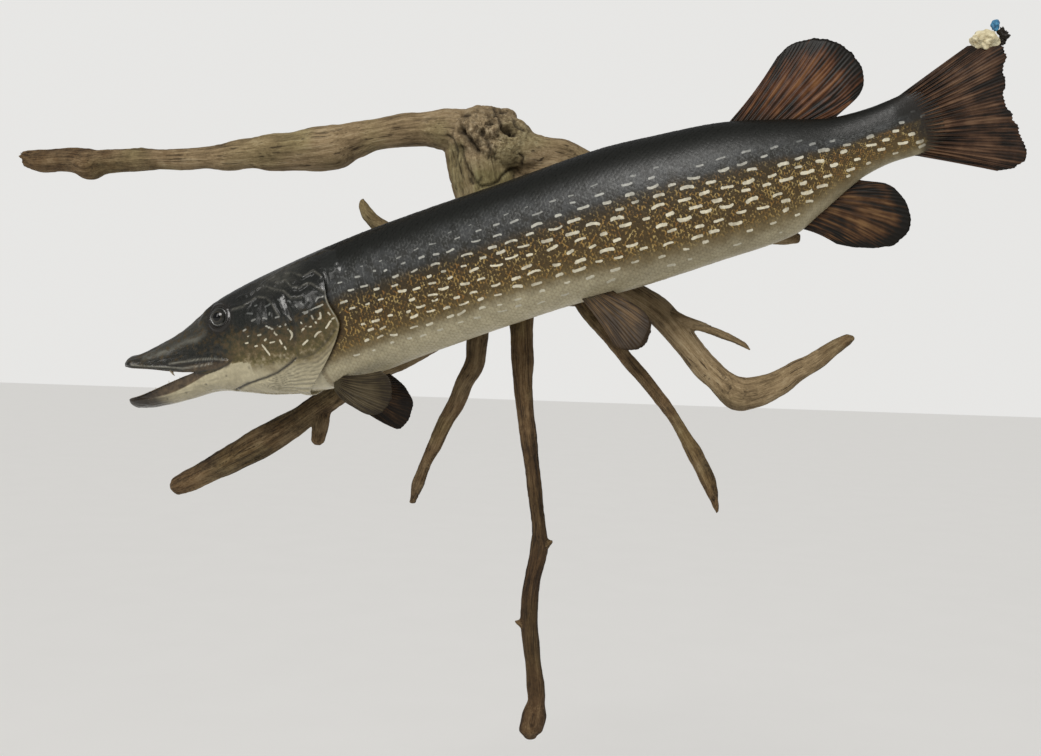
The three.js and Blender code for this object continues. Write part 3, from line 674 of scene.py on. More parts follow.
# %% Tone of the flank, from 0 on the belly to 1 on the back
FRONT_TONE = ([-1, -0.8, -0.62, -0.45, -0.2, 0.08, 0.25, 0.5, 0.85, 1],
              [0.0, 0.045, 0.20, 0.34, 0.44, 0.54, 0.63, 0.75, 0.9, 1])
REAR_TONE = ([-1, -0.9, -0.75, -0.5, -0.1, 0.12, 0.3, 0.45, 0.85, 1],
             [0.06, 0.10, 0.18, 0.38, 0.455, 0.53, 0.63, 0.76, 0.92, 1])
STALK_TONE = ([-1, -0.9, -0.6, -0.25, 0.0, 0.15, 0.3, 0.45, 0.85, 1],
              [0.10, 0.15, 0.30, 0.40, 0.49, 0.60, 0.76, 0.88, 0.96, 1])
CHEEK_LINE = line([[60, -33], [85, -39], [110, -40], [126, -37], [140, -39], [152, -43], [170, -47],
                   [187, -49], [202, -51], [224, -51], [239, -47], [256, -36], [264, -33]])


CHEEK_TONE = ([-26, -14, -6, 0, 7, 16, 25, 35, 46, 62],
              [0.05, 0.10, 0.16, 0.235, 0.31, 0.38, 0.47, 0.60, 0.75, 0.9])
SNOUT_TONE = ([-3, 2, 10, 30], [0.1, 0.58, 0.64, 0.60])
JAW_TONE = 0.07


def tone_height(u, w, t, kind):
    """Height on the flank as the airbrush sees it."""
    trunk = np.interp(t, *FRONT_TONE)
    trunk = blend(trunk, np.interp(t, *REAR_TONE), ease(u, 430, 640))
    trunk = blend(trunk, np.interp(t, *STALK_TONE), ease(u, 700, 800))
    above = w - CHEEK_LINE(u)
    head = blend(np.interp(above, *SNOUT_TONE), np.interp(above, *CHEEK_TONE), ease(u, 112, 146))
    head = np.where((kind == JAW) | ((u < 150) & (above < -2)), JAW_TONE, head)
    return np.where(kind == BODY, trunk, head)


print("tone of the middle of the flank", round(float(np.interp(0, *FRONT_TONE)), 2))

# %% Where the fine brush went
def upper_head(kind):
    return (kind == SKULL) | (kind == CHEEK)


def brush_marks(u, w, side, kind):
    """How much cream bean or worm lies on each point of bare skin."""
    spots = np.zeros(len(u))
    for flank in (1, -1):
        body = (side == flank) & (kind == BODY)
        spots[body] = strokes(u[body], w[body], [tuple(b[:7]) for b in beans if b[7] == flank])
        cheek = (side == flank) & (kind == CHEEK)
        du, dw = (0, 0) if flank == 1 else (2.5, -1.5)  # the far cheek is no exact mirror
        worms = [(a + du, b + dw, n + WORM_ENDS, WORM_HEIGHT, math.radians(d), 4 * e / (n * n + 1), 1.0)
                 for a, b, n, d, e in WORMS]
        spots[cheek] = strokes(u[cheek], w[cheek], worms)
    return spots


def brown_parts(u, w, kind):
    """The brown of the jaw's rim and tip, the corner of the mouth, its lining and the maxilla."""
    on_rim = ease(w - near_lip(u), -0.8, 0.8)
    brown = np.where(kind == JAW, np.maximum(on_rim, 1 - ease(u, 18, 58)), 0.0)
    strip = on_rim * fade(w - mouth_seam(u), -0.8, 0.6) * fade(u, 104, 128)
    brown = np.where(kind == CHEEK, strip, brown)
    brown = np.where(kind == LINING, 1.0, brown)
    d, k = away(u, w, MAXILLA)
    on_bone = 0.75 * fade(d, 3.2, 4.6) * ease(k, 0.1, 0.5)
    return np.where(upper_head(kind), np.maximum(brown, on_bone), brown)


def strongest(layers):
    """The strongest of many (where, mark) layers at each point."""
    total = 0.0
    for where, mark in layers:
        total = np.maximum(total, np.where(where, mark, 0))
    return total


def dark_lines(u, w, t, kind):
    """Painted shade in the grooves, creases, mouth seam, pores and the gill membrane's valleys; a dark ring
    round the eye socket, the jaw tip and the tail end are dark paint.
    """
    head, cheek, jaw = upper_head(kind), kind == CHEEK, kind == JAW
    rib, on = ribs(u, w)
    crumbs = 6 * uneven(pack(u, w, t) / 4, 9)
    frayed = 7 * uneven(pack(u / 6, w / 6, t), 4)
    # the grooves, creases, mouth seam, membrane valleys and pores get painted shade; eye ring, jaw tip and
    # tail end are dark paint
    layers = [(head, 0.85 * drawn(u, w, SPLINT_GROOVE, 1.1)),
              (cheek, 0.95 * drawn(u, w, JOINT_CREASE, 1.2)),
              (cheek, 0.5 * drawn(u, w, COVER_GROOVE, 1.3)),
              (cheek, 0.55 * drawn(u, w, CHEEK_GROOVE, 1.9) * ease(w, -46, -36)),
              (cheek, 0.34 * on * (1 - rib) ** 4),
              (head | jaw, 0.9 * drawn(u, w, MOUTH_SEAM, 0.9)),
              (head, 0.9 * fade(np.hypot(u - EYE_U, w - EYE_W), 13, 22)),
              (jaw, 0.8 * fade(u + crumbs, 16, 52)),
              (kind == BODY, 0.88 * ease(u + 0.2 * w + frayed, 836, 862))]
    layers += [(kind < BODY, 0.6 * soft(np.hypot(u - pu, w - pw), 1.2)) for pu, pw in PORES]
    return strongest(layers)


def pale_lines(u, w, t, kind):
    """Painted highlights on the snout, splint bone, lip edge, nape folds and cheek ridge, a painted sheen on
    the nape, and the gill cover's cream edge.
    """
    head, cheek = upper_head(kind), kind == CHEEK
    brushed = 0.5 + 0.5 * uneven(pack(u / 13, w / 2.4, t * 3), 6)
    above_ridge = ease(w - np.interp(u, *np.transpose(SNOUT_RIDGE)), -2, 4) * fade(u, 95, 118)
    # painted highlight on the snout's top and ridge, then a painted sheen on the nape
    lit = 0.05 * above_ridge + 0.16 * drawn(u, w, SNOUT_RIDGE, 3.4)
    lit += 0.06 * ease(t, 0.45, 0.7) * ease(u, 160, 200) * fade(u, 205, 242)
    cover_edge = 0.62 * soft(u - (gill_edge(t) - 1.4), 0.5)
    cover_edge = cover_edge * ease(t, -0.3, -0.15) * fade(t, 0.16, 0.27)
    # the gill cover's edge is cream paint; the rest are painted highlights on ridges and folds
    layers = [(head, lit * (0.35 + brushed)), (cheek, cover_edge),
              (head, 0.36 * drawn(u, w, SPLINT_BONE, 0.8)),
              (head, 0.34 * drawn(u, w, LIP_EDGE, 0.8))]
    layers += [(cheek, 0.16 * drawn(u, w, fold, 0.8)) for fold in NAPE_WRINKLES[:3] + [CHEEK_RIDGE]]
    return strongest(layers)


# %% All masks of the skin
def paint_masks(u, w, t, kind, marks):
    """tone (height, marks, brown) and zone (dark, pale, wet) for arrays of points."""
    wet = np.where(upper_head(kind), 1.0, 0.0)
    return (pack(tone_height(u, w, t, kind), marks, brown_parts(u, w, kind)),
            pack(dark_lines(u, w, t, kind), pale_lines(u, w, t, kind), wet))


def paint_on(mesh, name, values):
    layer = mesh.attributes.new(name, "FLOAT_VECTOR", "POINT")
    layer.data.foreach_set("vector", np.asarray(values, np.float32).ravel())


skin_u, skin_w, skin_t, skin_side, skin_kind = pool[:, 3:8].T
tone, zone = paint_masks(skin_u, skin_w, skin_t, skin_kind, brush_marks(skin_u, skin_w, skin_side, skin_kind))
paint_on(skin.data, "tone", tone)
paint_on(skin.data, "zone", zone)
print("share of the skin under beans", round(float((tone[:, 1] > 0.5).mean()), 3))

# %% [markdown]
# ## Scales
# A pike has about a hundred and twenty rows of small round scales from gill to tail, each lapping over
# the next like a roof tile, and each with a gold fleck near its free edge. Particles would be quick,
# but they don't survive an export. One scale is a low dome with a rounded rear edge and a thin wall;
# it is laid down on a staggered net over the skin, bent to the skin as it goes, so all are solid mesh.

# %% One scale
# (along, across, height) in scale lengths, half widths and millimetres; the root is sunk in the skin
SCALE_TOP = np.array([(0.16, 0, 0.52), (0.27, 0.95, 0.42), (0.46, 0.62, 0.56), (0.55, 0, 0.62),
                      (0.46, -0.62, 0.56), (0.27, -0.95, 0.42), (-0.45, -0.6, -0.2), (-0.45, 0.6, -0.2)])
SCALE_WALL = 0.34
scale_points = np.concatenate([SCALE_TOP, SCALE_TOP[1:] - (0, 0, SCALE_WALL)])
POINTS, RIM, TIP = len(scale_points), 7, 3  # points in a scale, points round its rim, the free tip
after = [1 + (k + 1) % RIM for k in range(RIM)]
scale_faces = [(0, 1 + k, after[k]) for k in range(RIM)]
scale_faces += [(1 + k, 8 + k, 7 + after[k]) for k in range(RIM)]
scale_faces += [(1 + k, 7 + after[k], after[k]) for k in range(RIM)]
scale_faces += [(8, 8 + k + 1, 8 + k) for k in range(1, RIM - 1)]
scale_faces = np.array(scale_faces)
print("triangles in one scale", len(scale_faces))

# %% The net of scales
ROWS_AROUND = 72
SCALE_PITCH, SCALE_LENGTH = 5.3, 1.62  # millimetres between rows at full girth, and length in pitches
FULL_GIRTH = 330
FINE_ANGLE = np.linspace(-90, 270, 721)
tile = np.random.default_rng(5)


def skin_round(u):
    """Millimetres of skin from the belly line round to each of FINE_ANGLE, at one place along the fish."""
    ring = section(u, FINE_ANGLE)[0]
    return run_along(ring)


roots = []
u, odd = 226.0, 0
while u < 879:
    arc = skin_round(u)
    girth = arc[-1]
    share = (np.arange(ROWS_AROUND) + 0.5 * odd + 0.25) / ROWS_AROUND
    small = (girth / FULL_GIRTH) ** 0.7
    pitch = SCALE_PITCH * small
    t = climb(np.interp(share * girth, arc, FINE_ANGLE))
    for k in np.nonzero(u > scales_from(t))[0]:
        roots.append((u + tile.uniform(-0.25, 0.25), share[k] * girth, girth, pitch * SCALE_LENGTH, small))
    u += pitch / 2
    odd = 1 - odd
roots = np.array(roots)
root_u, root_arc, root_girth, root_length, root_small = roots.T
print("scales:", len(roots))

# %% Lay the scales
n = len(roots)
turn = tile.normal(0, 0.05, n)[:, None]
local = np.repeat(scale_points[None], n, 0)
straight_u = local[..., 0] * root_length[:, None]
straight_arc = local[..., 1] * (root_girth / ROWS_AROUND * 0.60)[:, None]
scale_u = root_u[:, None] + (straight_u * np.cos(turn) - straight_arc * np.sin(turn))
off_arc = straight_u * np.sin(turn) + straight_arc * np.cos(turn)
scale_angle = np.empty_like(scale_u)
for girth in np.unique(root_girth):
    mine = root_girth == girth
    arc = skin_round(float(np.median(root_u[mine])))
    scale_angle[mine] = np.interp((root_arc[mine, None] + off_arc[mine]) % arc[-1], arc, FINE_ANGLE)
lift = local[..., 2] * root_small[:, None] ** 0.5 * (1 + 0.12 * tile.standard_normal((n, 1)))
point, normal, scale_w, scale_t = section(scale_u, scale_angle)
scale_mesh_points = point + normal * (lift - COAT_DEPTH)[..., None]
flank_side = flank_of(scale_angle)
no_marks, all_body = np.zeros(scale_u.size), np.full(scale_u.size, float(BODY))
tone, zone = paint_masks(scale_u.ravel(), scale_w.ravel(), scale_t.ravel(), all_body, no_marks)
print("scales stand", round(float(lift.max()), 2), "mm high at most")

# %% Which bean each scale shows
# each scale knows the nearest bean, and each of its points how far it lies along and across that bean
nearest = np.zeros(n, int)
for flank in (1, -1):
    mine, marks = np.nonzero(flank_side[:, TIP] == flank)[0], np.nonzero(beans[:, 7] == flank)[0]
    core = (beans[marks, 2] - beans[marks, 3]) / 2
    for part in np.array_split(mine, 24):
        du = scale_u[part, TIP][:, None] - beans[marks, 0]
        dw = scale_w[part, TIP][:, None] - beans[marks, 1]
        nearest[part] = marks[np.hypot(np.maximum(np.abs(du) - core, 0), dw).argmin(1)]
mark_u, mark_w, mark_length, mark_height, mark_tilt, mark_bend = beans[nearest, :6].T[..., None]
du, dw = scale_u - mark_u, scale_w - mark_w
along_bean = du * np.cos(mark_tilt) + dw * np.sin(mark_tilt)
across_bean = (-du * np.sin(mark_tilt) + dw * np.cos(mark_tilt)
               + mark_bend * (along_bean**2 - (mark_length / 4) ** 2))
core = np.broadcast_to((mark_length - mark_height) / 2, du.shape)
bean_place = pack(along_bean, across_bean, core) / (mark_height / 2)[..., None]
luck = np.repeat(tile.random(n)[:, None], POINTS, 1)
tips = pack(local[..., 0] + 0.45, local[..., 1], luck)
print("beans that show on scales:", len(np.unique(nearest)))

# %% Four joined coats of scales, each with a place for every scale on its map
root_angle = scale_angle[:, 0]
near, front = root_angle < 90, root_u < 500
coat_sheets = {"left_front": near & front, "left_rear": near & ~front,
               "right_front": ~near & front, "right_rear": ~near & ~front}
coat = []
for sheet, mine in coat_sheets.items():
    ids = np.nonzero(mine)[0]
    grid = (np.arange(len(ids)) * POINTS)[:, None, None] + scale_faces[None]
    piece = mesh_piece("scales_" + sheet, scale_mesh_points[ids].reshape(-1, 3),
                       grid.reshape(-1, 3).tolist())
    pick = (ids[:, None] * POINTS + np.arange(POINTS)).ravel()
    for attribute, values in (("tone", tone), ("zone", zone), ("scale", tips), ("bean", bean_place)):
        paint_on(piece.data, attribute, values.reshape(-1, 3)[pick])
    bake = piece.data.uv_layers.new(name="OFBake")
    spot = pack(0.02 + 0.96 * root_u[ids] / 900, 0.02 + 0.96 * (root_angle[ids] + 90) / 360)
    patch = pack(local[ids, :, 0], local[ids, :, 1] * 0.5) * 0.003 + spot[:, None]
    corners = np.empty(len(piece.data.loops), np.int32)
    piece.data.loops.foreach_get("vertex_index", corners)
    bake.data.foreach_set("uv", patch.reshape(-1, 2)[corners].astype(np.float32).ravel())
    coat.append(piece)
    print(piece.name, len(ids), "scales,", len(piece.data.polygons), "triangles")

# %% [markdown]
# ## Helpers for finishes
# A finish is a small network: where am I (attribute or object position), what colour is here, how rough,
# how bumpy. The helpers below only save typing. Numbers that are the same all over go straight on the
# shader's own sockets.

# %% Node helpers
class Finish:
    """One material under construction."""

    def __init__(self, name, **constants):
        self.material = bpy.data.materials.new(name)
        self.material.use_nodes = True
        self.tree = self.material.node_tree
        self.shader = self.tree.nodes["Principled BSDF"]
        for socket, value in constants.items():
            self.shader.inputs[socket.replace("_", " ")].default_value = value

    def node(self, kind, **settings):
        new = self.tree.nodes.new("ShaderNode" + kind)
        for key, value in settings.items():
            setattr(new, key, value)
        return new

    def feed(self, source, target):
        self.tree.links.new(source, target)

    def put(self, socket, value):
        if hasattr(value, "links"):
            self.feed(value, socket)
        else:
            socket.default_value = value

    def split(self, vector):
        split = self.node("SeparateXYZ")
        self.feed(vector, split.inputs[0])
        return split.outputs

    def read(self, attribute):
        """The three numbers that an attribute of the mesh holds."""
        return self.split(self.node("Attribute", attribute_name=attribute).outputs["Vector"])

    def reckon(self, operation, a, b=0.0, c=0.0):
        """One step of arithmetic."""
        math_node = self.node("Math", operation=operation)
        for socket, value in zip(math_node.inputs, (a, b, c)):
            self.put(socket, value)
        return math_node.outputs[0]

    def chain(self, operation, values):
        total = values[0]
        for value in values[1:]:
            total = self.reckon(operation, total, value)
        return total

    def times(self, *values):
        return self.chain("MULTIPLY", values)

    def plus(self, *values):
        return self.chain("ADD", values)

    def less(self, a, b):
        return self.reckon("SUBTRACT", a, b)

    def stray(self, value, noise, amount):
        """The value, wandering up and down with a noise."""
        return self.reckon("MULTIPLY_ADD", self.less(noise, 0.5), amount, value)

    def between(self, value, low, high, to_low=0.0, to_high=1.0):
        """Goes smoothly from to_low to to_high while the value goes from low to high."""
        ranger = self.node("MapRange", interpolation_type="SMOOTHSTEP")
        for socket, v in zip(ranger.inputs, (value, low, high, to_low, to_high)):
            self.put(socket, v)
        return ranger.outputs[0]

    def mix(self, share, a, b, how="MIX"):
        mixer = self.node("Mix", data_type="RGBA", blend_type=how)
        self.put(mixer.inputs[0], share)
        for socket, value in ((mixer.inputs[6], a), (mixer.inputs[7], b)):
            self.put(socket, value if hasattr(value, "links") else (*value, 1))
        return mixer.outputs[2]

    def ramp(self, value, stops):
        ramp = self.node("ValToRGB")
        elements = ramp.color_ramp.elements
        while len(elements) < len(stops):
            elements.new(0.5)
        for element, (position, colour) in zip(elements, stops):
            element.position, element.color = position, (*colour, 1)
        self.put(ramp.inputs[0], value)
        return ramp.outputs[0]

    def position(self, stretch=(1, 1, 1)):
        mapping = self.node("Mapping")
        mapping.inputs["Scale"].default_value = stretch
        self.feed(self.node("TexCoord").outputs["Object"], mapping.inputs[0])
        return mapping.outputs[0]

    def noise(self, where, scale, detail=3, rough=0.55):
        texture = self.node("TexNoise")
        texture.inputs["Scale"].default_value = scale
        texture.inputs["Detail"].default_value = detail
        texture.inputs["Roughness"].default_value = rough
        self.feed(where, texture.inputs["Vector"])
        return texture.outputs["Fac"]

    def bump(self, height, strength, distance):
        bump = self.node("Bump")
        bump.inputs["Strength"].default_value = strength
        bump.inputs["Distance"].default_value = distance
        self.feed(height, bump.inputs["Height"])
        self.feed(bump.outputs[0], self.shader.inputs["Normal"])

    def colour(self, value):
        self.feed(value, self.shader.inputs["Base Color"])

    def rough(self, value):
        self.put(self.shader.inputs["Roughness"], value)


def dress(piece, finish, slot, *replaced):
    """Gives a piece its finish, hangs it on the one body, and hides the solids that it stands for."""
    piece.data.materials.clear()
    piece.data.materials.append(finish.material)
    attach(piece, "root")
    if replaced:
        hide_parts(*replaced)


def speckled(name, scale, detail, stops, bump=(), **constants):
    """A finish whose colour is one noise. bump holds the (scale, detail, strength, depth) of another."""
    finish = Finish(name, **constants)
    finish.colour(finish.ramp(finish.noise(finish.position(), scale, detail), stops))
    if bump:
        finish.bump(finish.noise(finish.position(), *bump[:2]), *bump[2:])
    return finish


print("finishes so far:", len(bpy.data.materials))

# %% [markdown]
# ## Painted skin
# The base is the flank's tone as a ramp from belly cream through gold brown to black olive. Then come
# painted shade on the scales' covered roots, gold flecks on the scales' ends, a painted sheen with
# painted glints below the back, cream beans, brown mouth, dark lines with painted shade in the creases,
# pale edges with painted highlights on the ridges, and a coat of varnish over all.

# %% Skin paint
FLANK_TONES = [(0.0, (0.48, 0.43, 0.29)), (0.10, (0.34, 0.30, 0.195)), (0.18, (0.175, 0.138, 0.072)),
               (0.26, (0.098, 0.068, 0.026)), (0.38, (0.062, 0.040, 0.014)), (0.50, (0.038, 0.026, 0.010)),
               (0.60, (0.014, 0.013, 0.009)), (0.72, (0.008, 0.009, 0.007)), (0.88, (0.005, 0.0055, 0.004)),
               (1.0, (0.006, 0.006, 0.0045))]
GOLD = [(0.35, (0.20, 0.100, 0.024)), (0.5, (0.27, 0.175, 0.052)), (0.68, (0.37, 0.285, 0.12))]
CREAM = [(0.0, (0.50, 0.475, 0.38)), (0.30, (0.61, 0.57, 0.44)), (0.45, (0.60, 0.56, 0.43)),
         (0.62, (0.34, 0.34, 0.31)), (0.8, (0.10, 0.105, 0.10))]  # beans are greyer towards the back
MOUTH_BROWN = [(0.3, (0.022, 0.014, 0.008)), (0.7, (0.115, 0.08, 0.044))]
# the second colour below is painted shade for the covered roots of the scales
OLIVE, ROOT_SHADE = (0.80, 1.0, 0.62), (0.42, 0.34, 0.26)
# a painted sheen and painted glints for the scales below the back
PAINTED_SHEEN_GREY, PAINTED_GLINT = (0.046, 0.049, 0.051), (0.085, 0.088, 0.084)
# black for dark lines and painted shade in creases; cream for the gill cover's edge and painted highlights on
# ridges
LINE_BLACK_AND_CREASE_SHADE, CREAM_EDGE_AND_RIDGE_HIGHLIGHT = (0.010, 0.008, 0.006), (0.48, 0.46, 0.38)


def gold_and_sheen(paint, colour, here, height):
    """Painted shade on the scales' covered roots, gold crescents low on the flank, and a painted grey sheen
    with painted glints below the back.
    """
    tip, across, luck = paint.read("scale")
    # the free edge of a scale is an arc: flecks are thin crescents just inside it
    from_edge = paint.reckon("MULTIPLY_ADD", paint.times(across, across), 0.2, tip)
    crescent = paint.times(paint.between(from_edge, 0.76, 0.85),
                           paint.between(from_edge, 0.96, 1.0, 1.0, 0.35))
    gold_band = paint.times(paint.between(height, 0.15, 0.30), paint.between(height, 0.46, 0.60, 1.0, 0.0))
    broken = paint.between(paint.noise(here, 310, 2, 0.6), 0.48, 0.57)
    fleck = paint.times(crescent, gold_band, broken, paint.between(luck, 0.05, 0.6, 0.35, 1.0))
    # painted shade on the root of each scale, under the one in front
    colour = paint.mix(paint.between(tip, 0.90, 0.45, 0.0, 0.5), colour, ROOT_SHADE, "MULTIPLY")
    colour = paint.mix(fleck, colour, paint.ramp(paint.noise(here, 120, 2), GOLD))
    # painted sheen: a clouded grey band below the back, with painted glints on the scales' edges
    sheen_band = paint.times(paint.between(height, 0.50, 0.62), paint.between(height, 0.70, 0.84, 1.0, 0.0))
    clouds = paint.between(paint.noise(here, 85, 4, 0.65), 0.38, 0.62)
    colour = paint.mix(paint.times(sheen_band, clouds, 0.55), colour, PAINTED_SHEEN_GREY)
    return paint.mix(paint.times(crescent, sheen_band, broken, 0.6), colour, PAINTED_GLINT)


def bean_on_scales(paint, fine):
    """1 inside the nearest bean, measured in half bean heights, with an edge that fine noise breaks."""
    along, off, core = paint.read("bean")
    past_core = paint.reckon("MAXIMUM", paint.less(paint.reckon("ABSOLUTE", along), core), 0.0)
    squared = paint.reckon("MULTIPLY_ADD", past_core, past_core, paint.times(off, off))
    return paint.between(paint.stray(paint.reckon("SQRT", squared), fine, 1.1), 1.12, 0.82)


def bean_on_skin(paint, fine, spot, wet):
    """The brush marks of the mask, fainter on the wet-looking head."""
    return paint.times(paint.between(paint.stray(spot, fine, 0.3), 0.44, 0.60),
                       paint.between(wet, 0.0, 1.0, 1.0, 0.82))


def skin_paint(name, scaled):
    paint = Finish(name, Coat_Weight=0.12 if scaled else 0.42, Coat_Roughness=0.24 if scaled else 0.14,
                   Specular_IOR_Level=0.2 if scaled else 0.25)
    height, spot, brown = paint.read("tone")
    dark, pale, wet = paint.read("zone")
    here = paint.position()
    cloudy, fine, speck = paint.noise(here, 55, 4), paint.noise(here, 420, 3), paint.noise(here, 190, 3, 0.6)
    # base: the flank's tones, speckled on the head
    speckled = paint.times(wet, paint.between(height, 0.12, 0.26))
    tone_here = paint.reckon("MULTIPLY_ADD", paint.times(paint.less(speck, 0.5), speckled), 0.62,
                             paint.stray(height, cloudy, 0.14))
    colour = paint.ramp(tone_here, FLANK_TONES)
    olive_band = paint.times(speckled, paint.between(height, 0.5, 0.62, 1.0, 0.0))
    olive = paint.times(olive_band, paint.between(speck, 0.4, 0.6, 0.0, 0.75))
    colour = paint.mix(olive, colour, OLIVE, "MULTIPLY")
    # marks: gold, then cream
    if scaled:
        colour = gold_and_sheen(paint, colour, here, height)
        bean = bean_on_scales(paint, fine)
    else:
        bean = bean_on_skin(paint, fine, spot, wet)
    bean = paint.times(bean, paint.between(paint.noise(here, 90, 2), 0.3, 0.6, 0.62, 1.0))
    colour = paint.mix(bean, colour, paint.ramp(height, CREAM))
    # mouth, mottle, dark lines with painted shade in the creases, and pale edges with painted highlights on
    # the ridges
    colour = paint.mix(brown, colour, paint.ramp(paint.noise(here, 130, 3), MOUTH_BROWN))
    mottle = paint.between(paint.noise(here, 240, 2), 0.35, 0.7, 0.84, 1.12)
    shade = paint.node("CombineColor")
    for socket in shade.inputs:
        paint.feed(mottle, socket)
    colour = paint.mix(0.7, colour, shade.outputs[0], "MULTIPLY")
    colour = paint.mix(dark, colour, LINE_BLACK_AND_CREASE_SHADE)
    colour = paint.mix(paint.times(pale, paint.between(speck, 0.35, 0.55, 0.35, 1.0)), colour, CREAM_EDGE_AND_RIDGE_HIGHLIGHT)
    paint.colour(colour)
    if scaled:
        paint.rough(paint.between(fine, 0.3, 0.7, 0.36, 0.56))
    else:
        paint.rough(paint.less(paint.between(fine, 0.3, 0.7, 0.27, 0.46), paint.times(wet, 0.06)))
    paint.bump(fine, 0.3 if scaled else 0.2, 0.0006)
    return paint


varnished_skin = skin_paint("varnished_skin", False)
varnished_scales = skin_paint("varnished_scales", True)
dress(skin, varnished_skin, "painted_skin_flank", "head", "lower_jaw", "gill_cover_left",
      "gill_cover_right", "trunk_front", "trunk_middle", "trunk_rear", "tail_stalk")
for piece in coat:
    only(piece)
    bpy.ops.object.shade_smooth_by_angle(angle=math.radians(50))
    dress(piece, varnished_scales, "painted_skin_flank")
print("painted pieces of skin and coat:", 1 + len(coat))

# %% [markdown]
# ## Eyes
# A taxidermist's eye is a glass dome with a painted disc behind it. A sphere at the eye's place, its
# front half flattened into a low dome, has the right gleam; rings of paint do the rest, with a pale
# crescent of painted light on the lower side. A soft rim of skin is laid round it, because a pike has
# no lid but a fleshy edge.

# %% Ways to start and settle a piece
def start_with(primitive, name, **settings):
    """Adds a primitive with nothing else selected, and names it."""
    bpy.ops.object.select_all(action="DESELECT")
    primitive(**settings)
    piece = bpy.context.object
    piece.name = piece.data.name = name
    return piece


def settle(piece):
    """Moves place, turn and size into the mesh, so that the object sits at the origin."""
    only(piece)
    bpy.ops.object.transform_apply(location=True, rotation=True, scale=True)


def join(pieces, name):
    bpy.ops.object.select_all(action="DESELECT")
    for piece in pieces:
        piece.select_set(True)
    bpy.context.view_layer.objects.active = pieces[0]
    bpy.ops.object.join()
    whole = bpy.context.object
    whole.name = whole.data.name = name
    return whole


# %% Glass and rim
glass = Finish("glass_eye", Roughness=0.04, Specular_IOR_Level=0.42)
ring, lit_low_side, _ = glass.read("ring")
streak = glass.noise(glass.position(), 900, 3)
iris = glass.ramp(glass.stray(ring, streak, 0.08),
                  [(0.0, (0.001, 0.001, 0.001)), (0.48, (0.001, 0.001, 0.001)), (0.53, (0.040, 0.034, 0.022)),
                   (0.62, (0.016, 0.015, 0.012)), (0.80, (0.012, 0.012, 0.010)), (1.0, (0.02, 0.02, 0.016))])
# a pale crescent on the iris's lower side is painted light
crescent = glass.times(glass.between(ring, 0.78, 0.90), lit_low_side)
glass.colour(glass.mix(crescent, iris, (0.36, 0.35, 0.31)))
rim_skin = speckled("eye_rim_skin", 300, 3, [(0.3, (0.008, 0.008, 0.007)), (0.7, (0.022, 0.022, 0.018))],
                    bump=(700, 3, 0.3, 0.0005), Coat_Weight=0.6, Coat_Roughness=0.12, Roughness=0.3)
print("iris and crescent painted over", len(glass.tree.nodes), "nodes")

# %% Eyes
EYE_SUNK, DOME = 4.9, 0.78  # depth of the ball's middle inside the head, and height of its dome in radii
RIM_RADIUS, RIM_THICK, RIM_OUT = 0.0093, 0.0012, 0.0023  # in metres
up_share = (EYE_W - float(widest(EYE_U))) / (float(top(EYE_U)) - float(widest(EYE_U)))
EYE_SIDE = float(width(EYE_U)) * (1 - up_share**BACK_SQUARE) ** (1 / BACK_SQUARE) - EYE_SUNK
ball_radius = EYE_RADIUS * MM
for flank, side_name in ((1, "left"), (-1, "right")):
    centre = place(EYE_U, flank * EYE_SIDE, EYE_W) * MM
    facing = Vector(place(EYE_U - 3, flank * (EYE_SIDE + 20), EYE_W + 3.0) * MM - centre).normalized()
    turn_to = Vector((0, 0, 1)).rotation_difference(facing).to_euler()
    eye = start_with(bpy.ops.mesh.primitive_uv_sphere_add, "glass_eye_" + side_name, segments=56,
                     ring_count=36, radius=ball_radius, location=centre, rotation=turn_to)
    rings = []
    for v in eye.data.vertices:
        rings.append(math.hypot(v.co.x, v.co.y) / ball_radius if v.co.z > 0 else 1.0)
        if v.co.z > 0:
            v.co.z *= DOME
    settle(eye)
    seen = np.array([v.co[:] for v in eye.data.vertices]) - centre
    # the lower side of each eye, where the crescent of painted light goes
    low = ease(-(seen[:, 2] + 0.5 * seen[:, 0]) / ball_radius, 0.1, 0.75)
    paint_on(eye.data, "ring", [(r, b, 0) for r, b in zip(rings, low)])
    bpy.ops.object.shade_smooth()
    dress(eye, glass, "glass_eye", "eye_" + side_name)
    rim = start_with(bpy.ops.mesh.primitive_torus_add, "eye_rim_" + side_name, major_radius=RIM_RADIUS,
                     minor_radius=RIM_THICK, major_segments=64, minor_segments=14,
                     location=Vector(centre) + facing * RIM_OUT, rotation=turn_to)
    for v in rim.data.vertices:
        swell = 1 + 0.18 * math.sin(math.atan2(v.co.y, v.co.x) * 2 + 0.6)
        v.co.z = v.co.z * swell * 0.95 - 0.10 * max(0.0, math.hypot(v.co.x, v.co.y) - 0.009)
    settle(rim)
    bpy.ops.object.shade_smooth()
    dress(rim, rim_skin, "painted_skin_dark")
print("eye centre", [round(c, 4) for c in centre])

# %% [markdown]
# ## Teeth
# The open mouth shows a few dog teeth on the rims of the lower jaw and small ones above. A cone is
# bent back a little and copied along both rims.

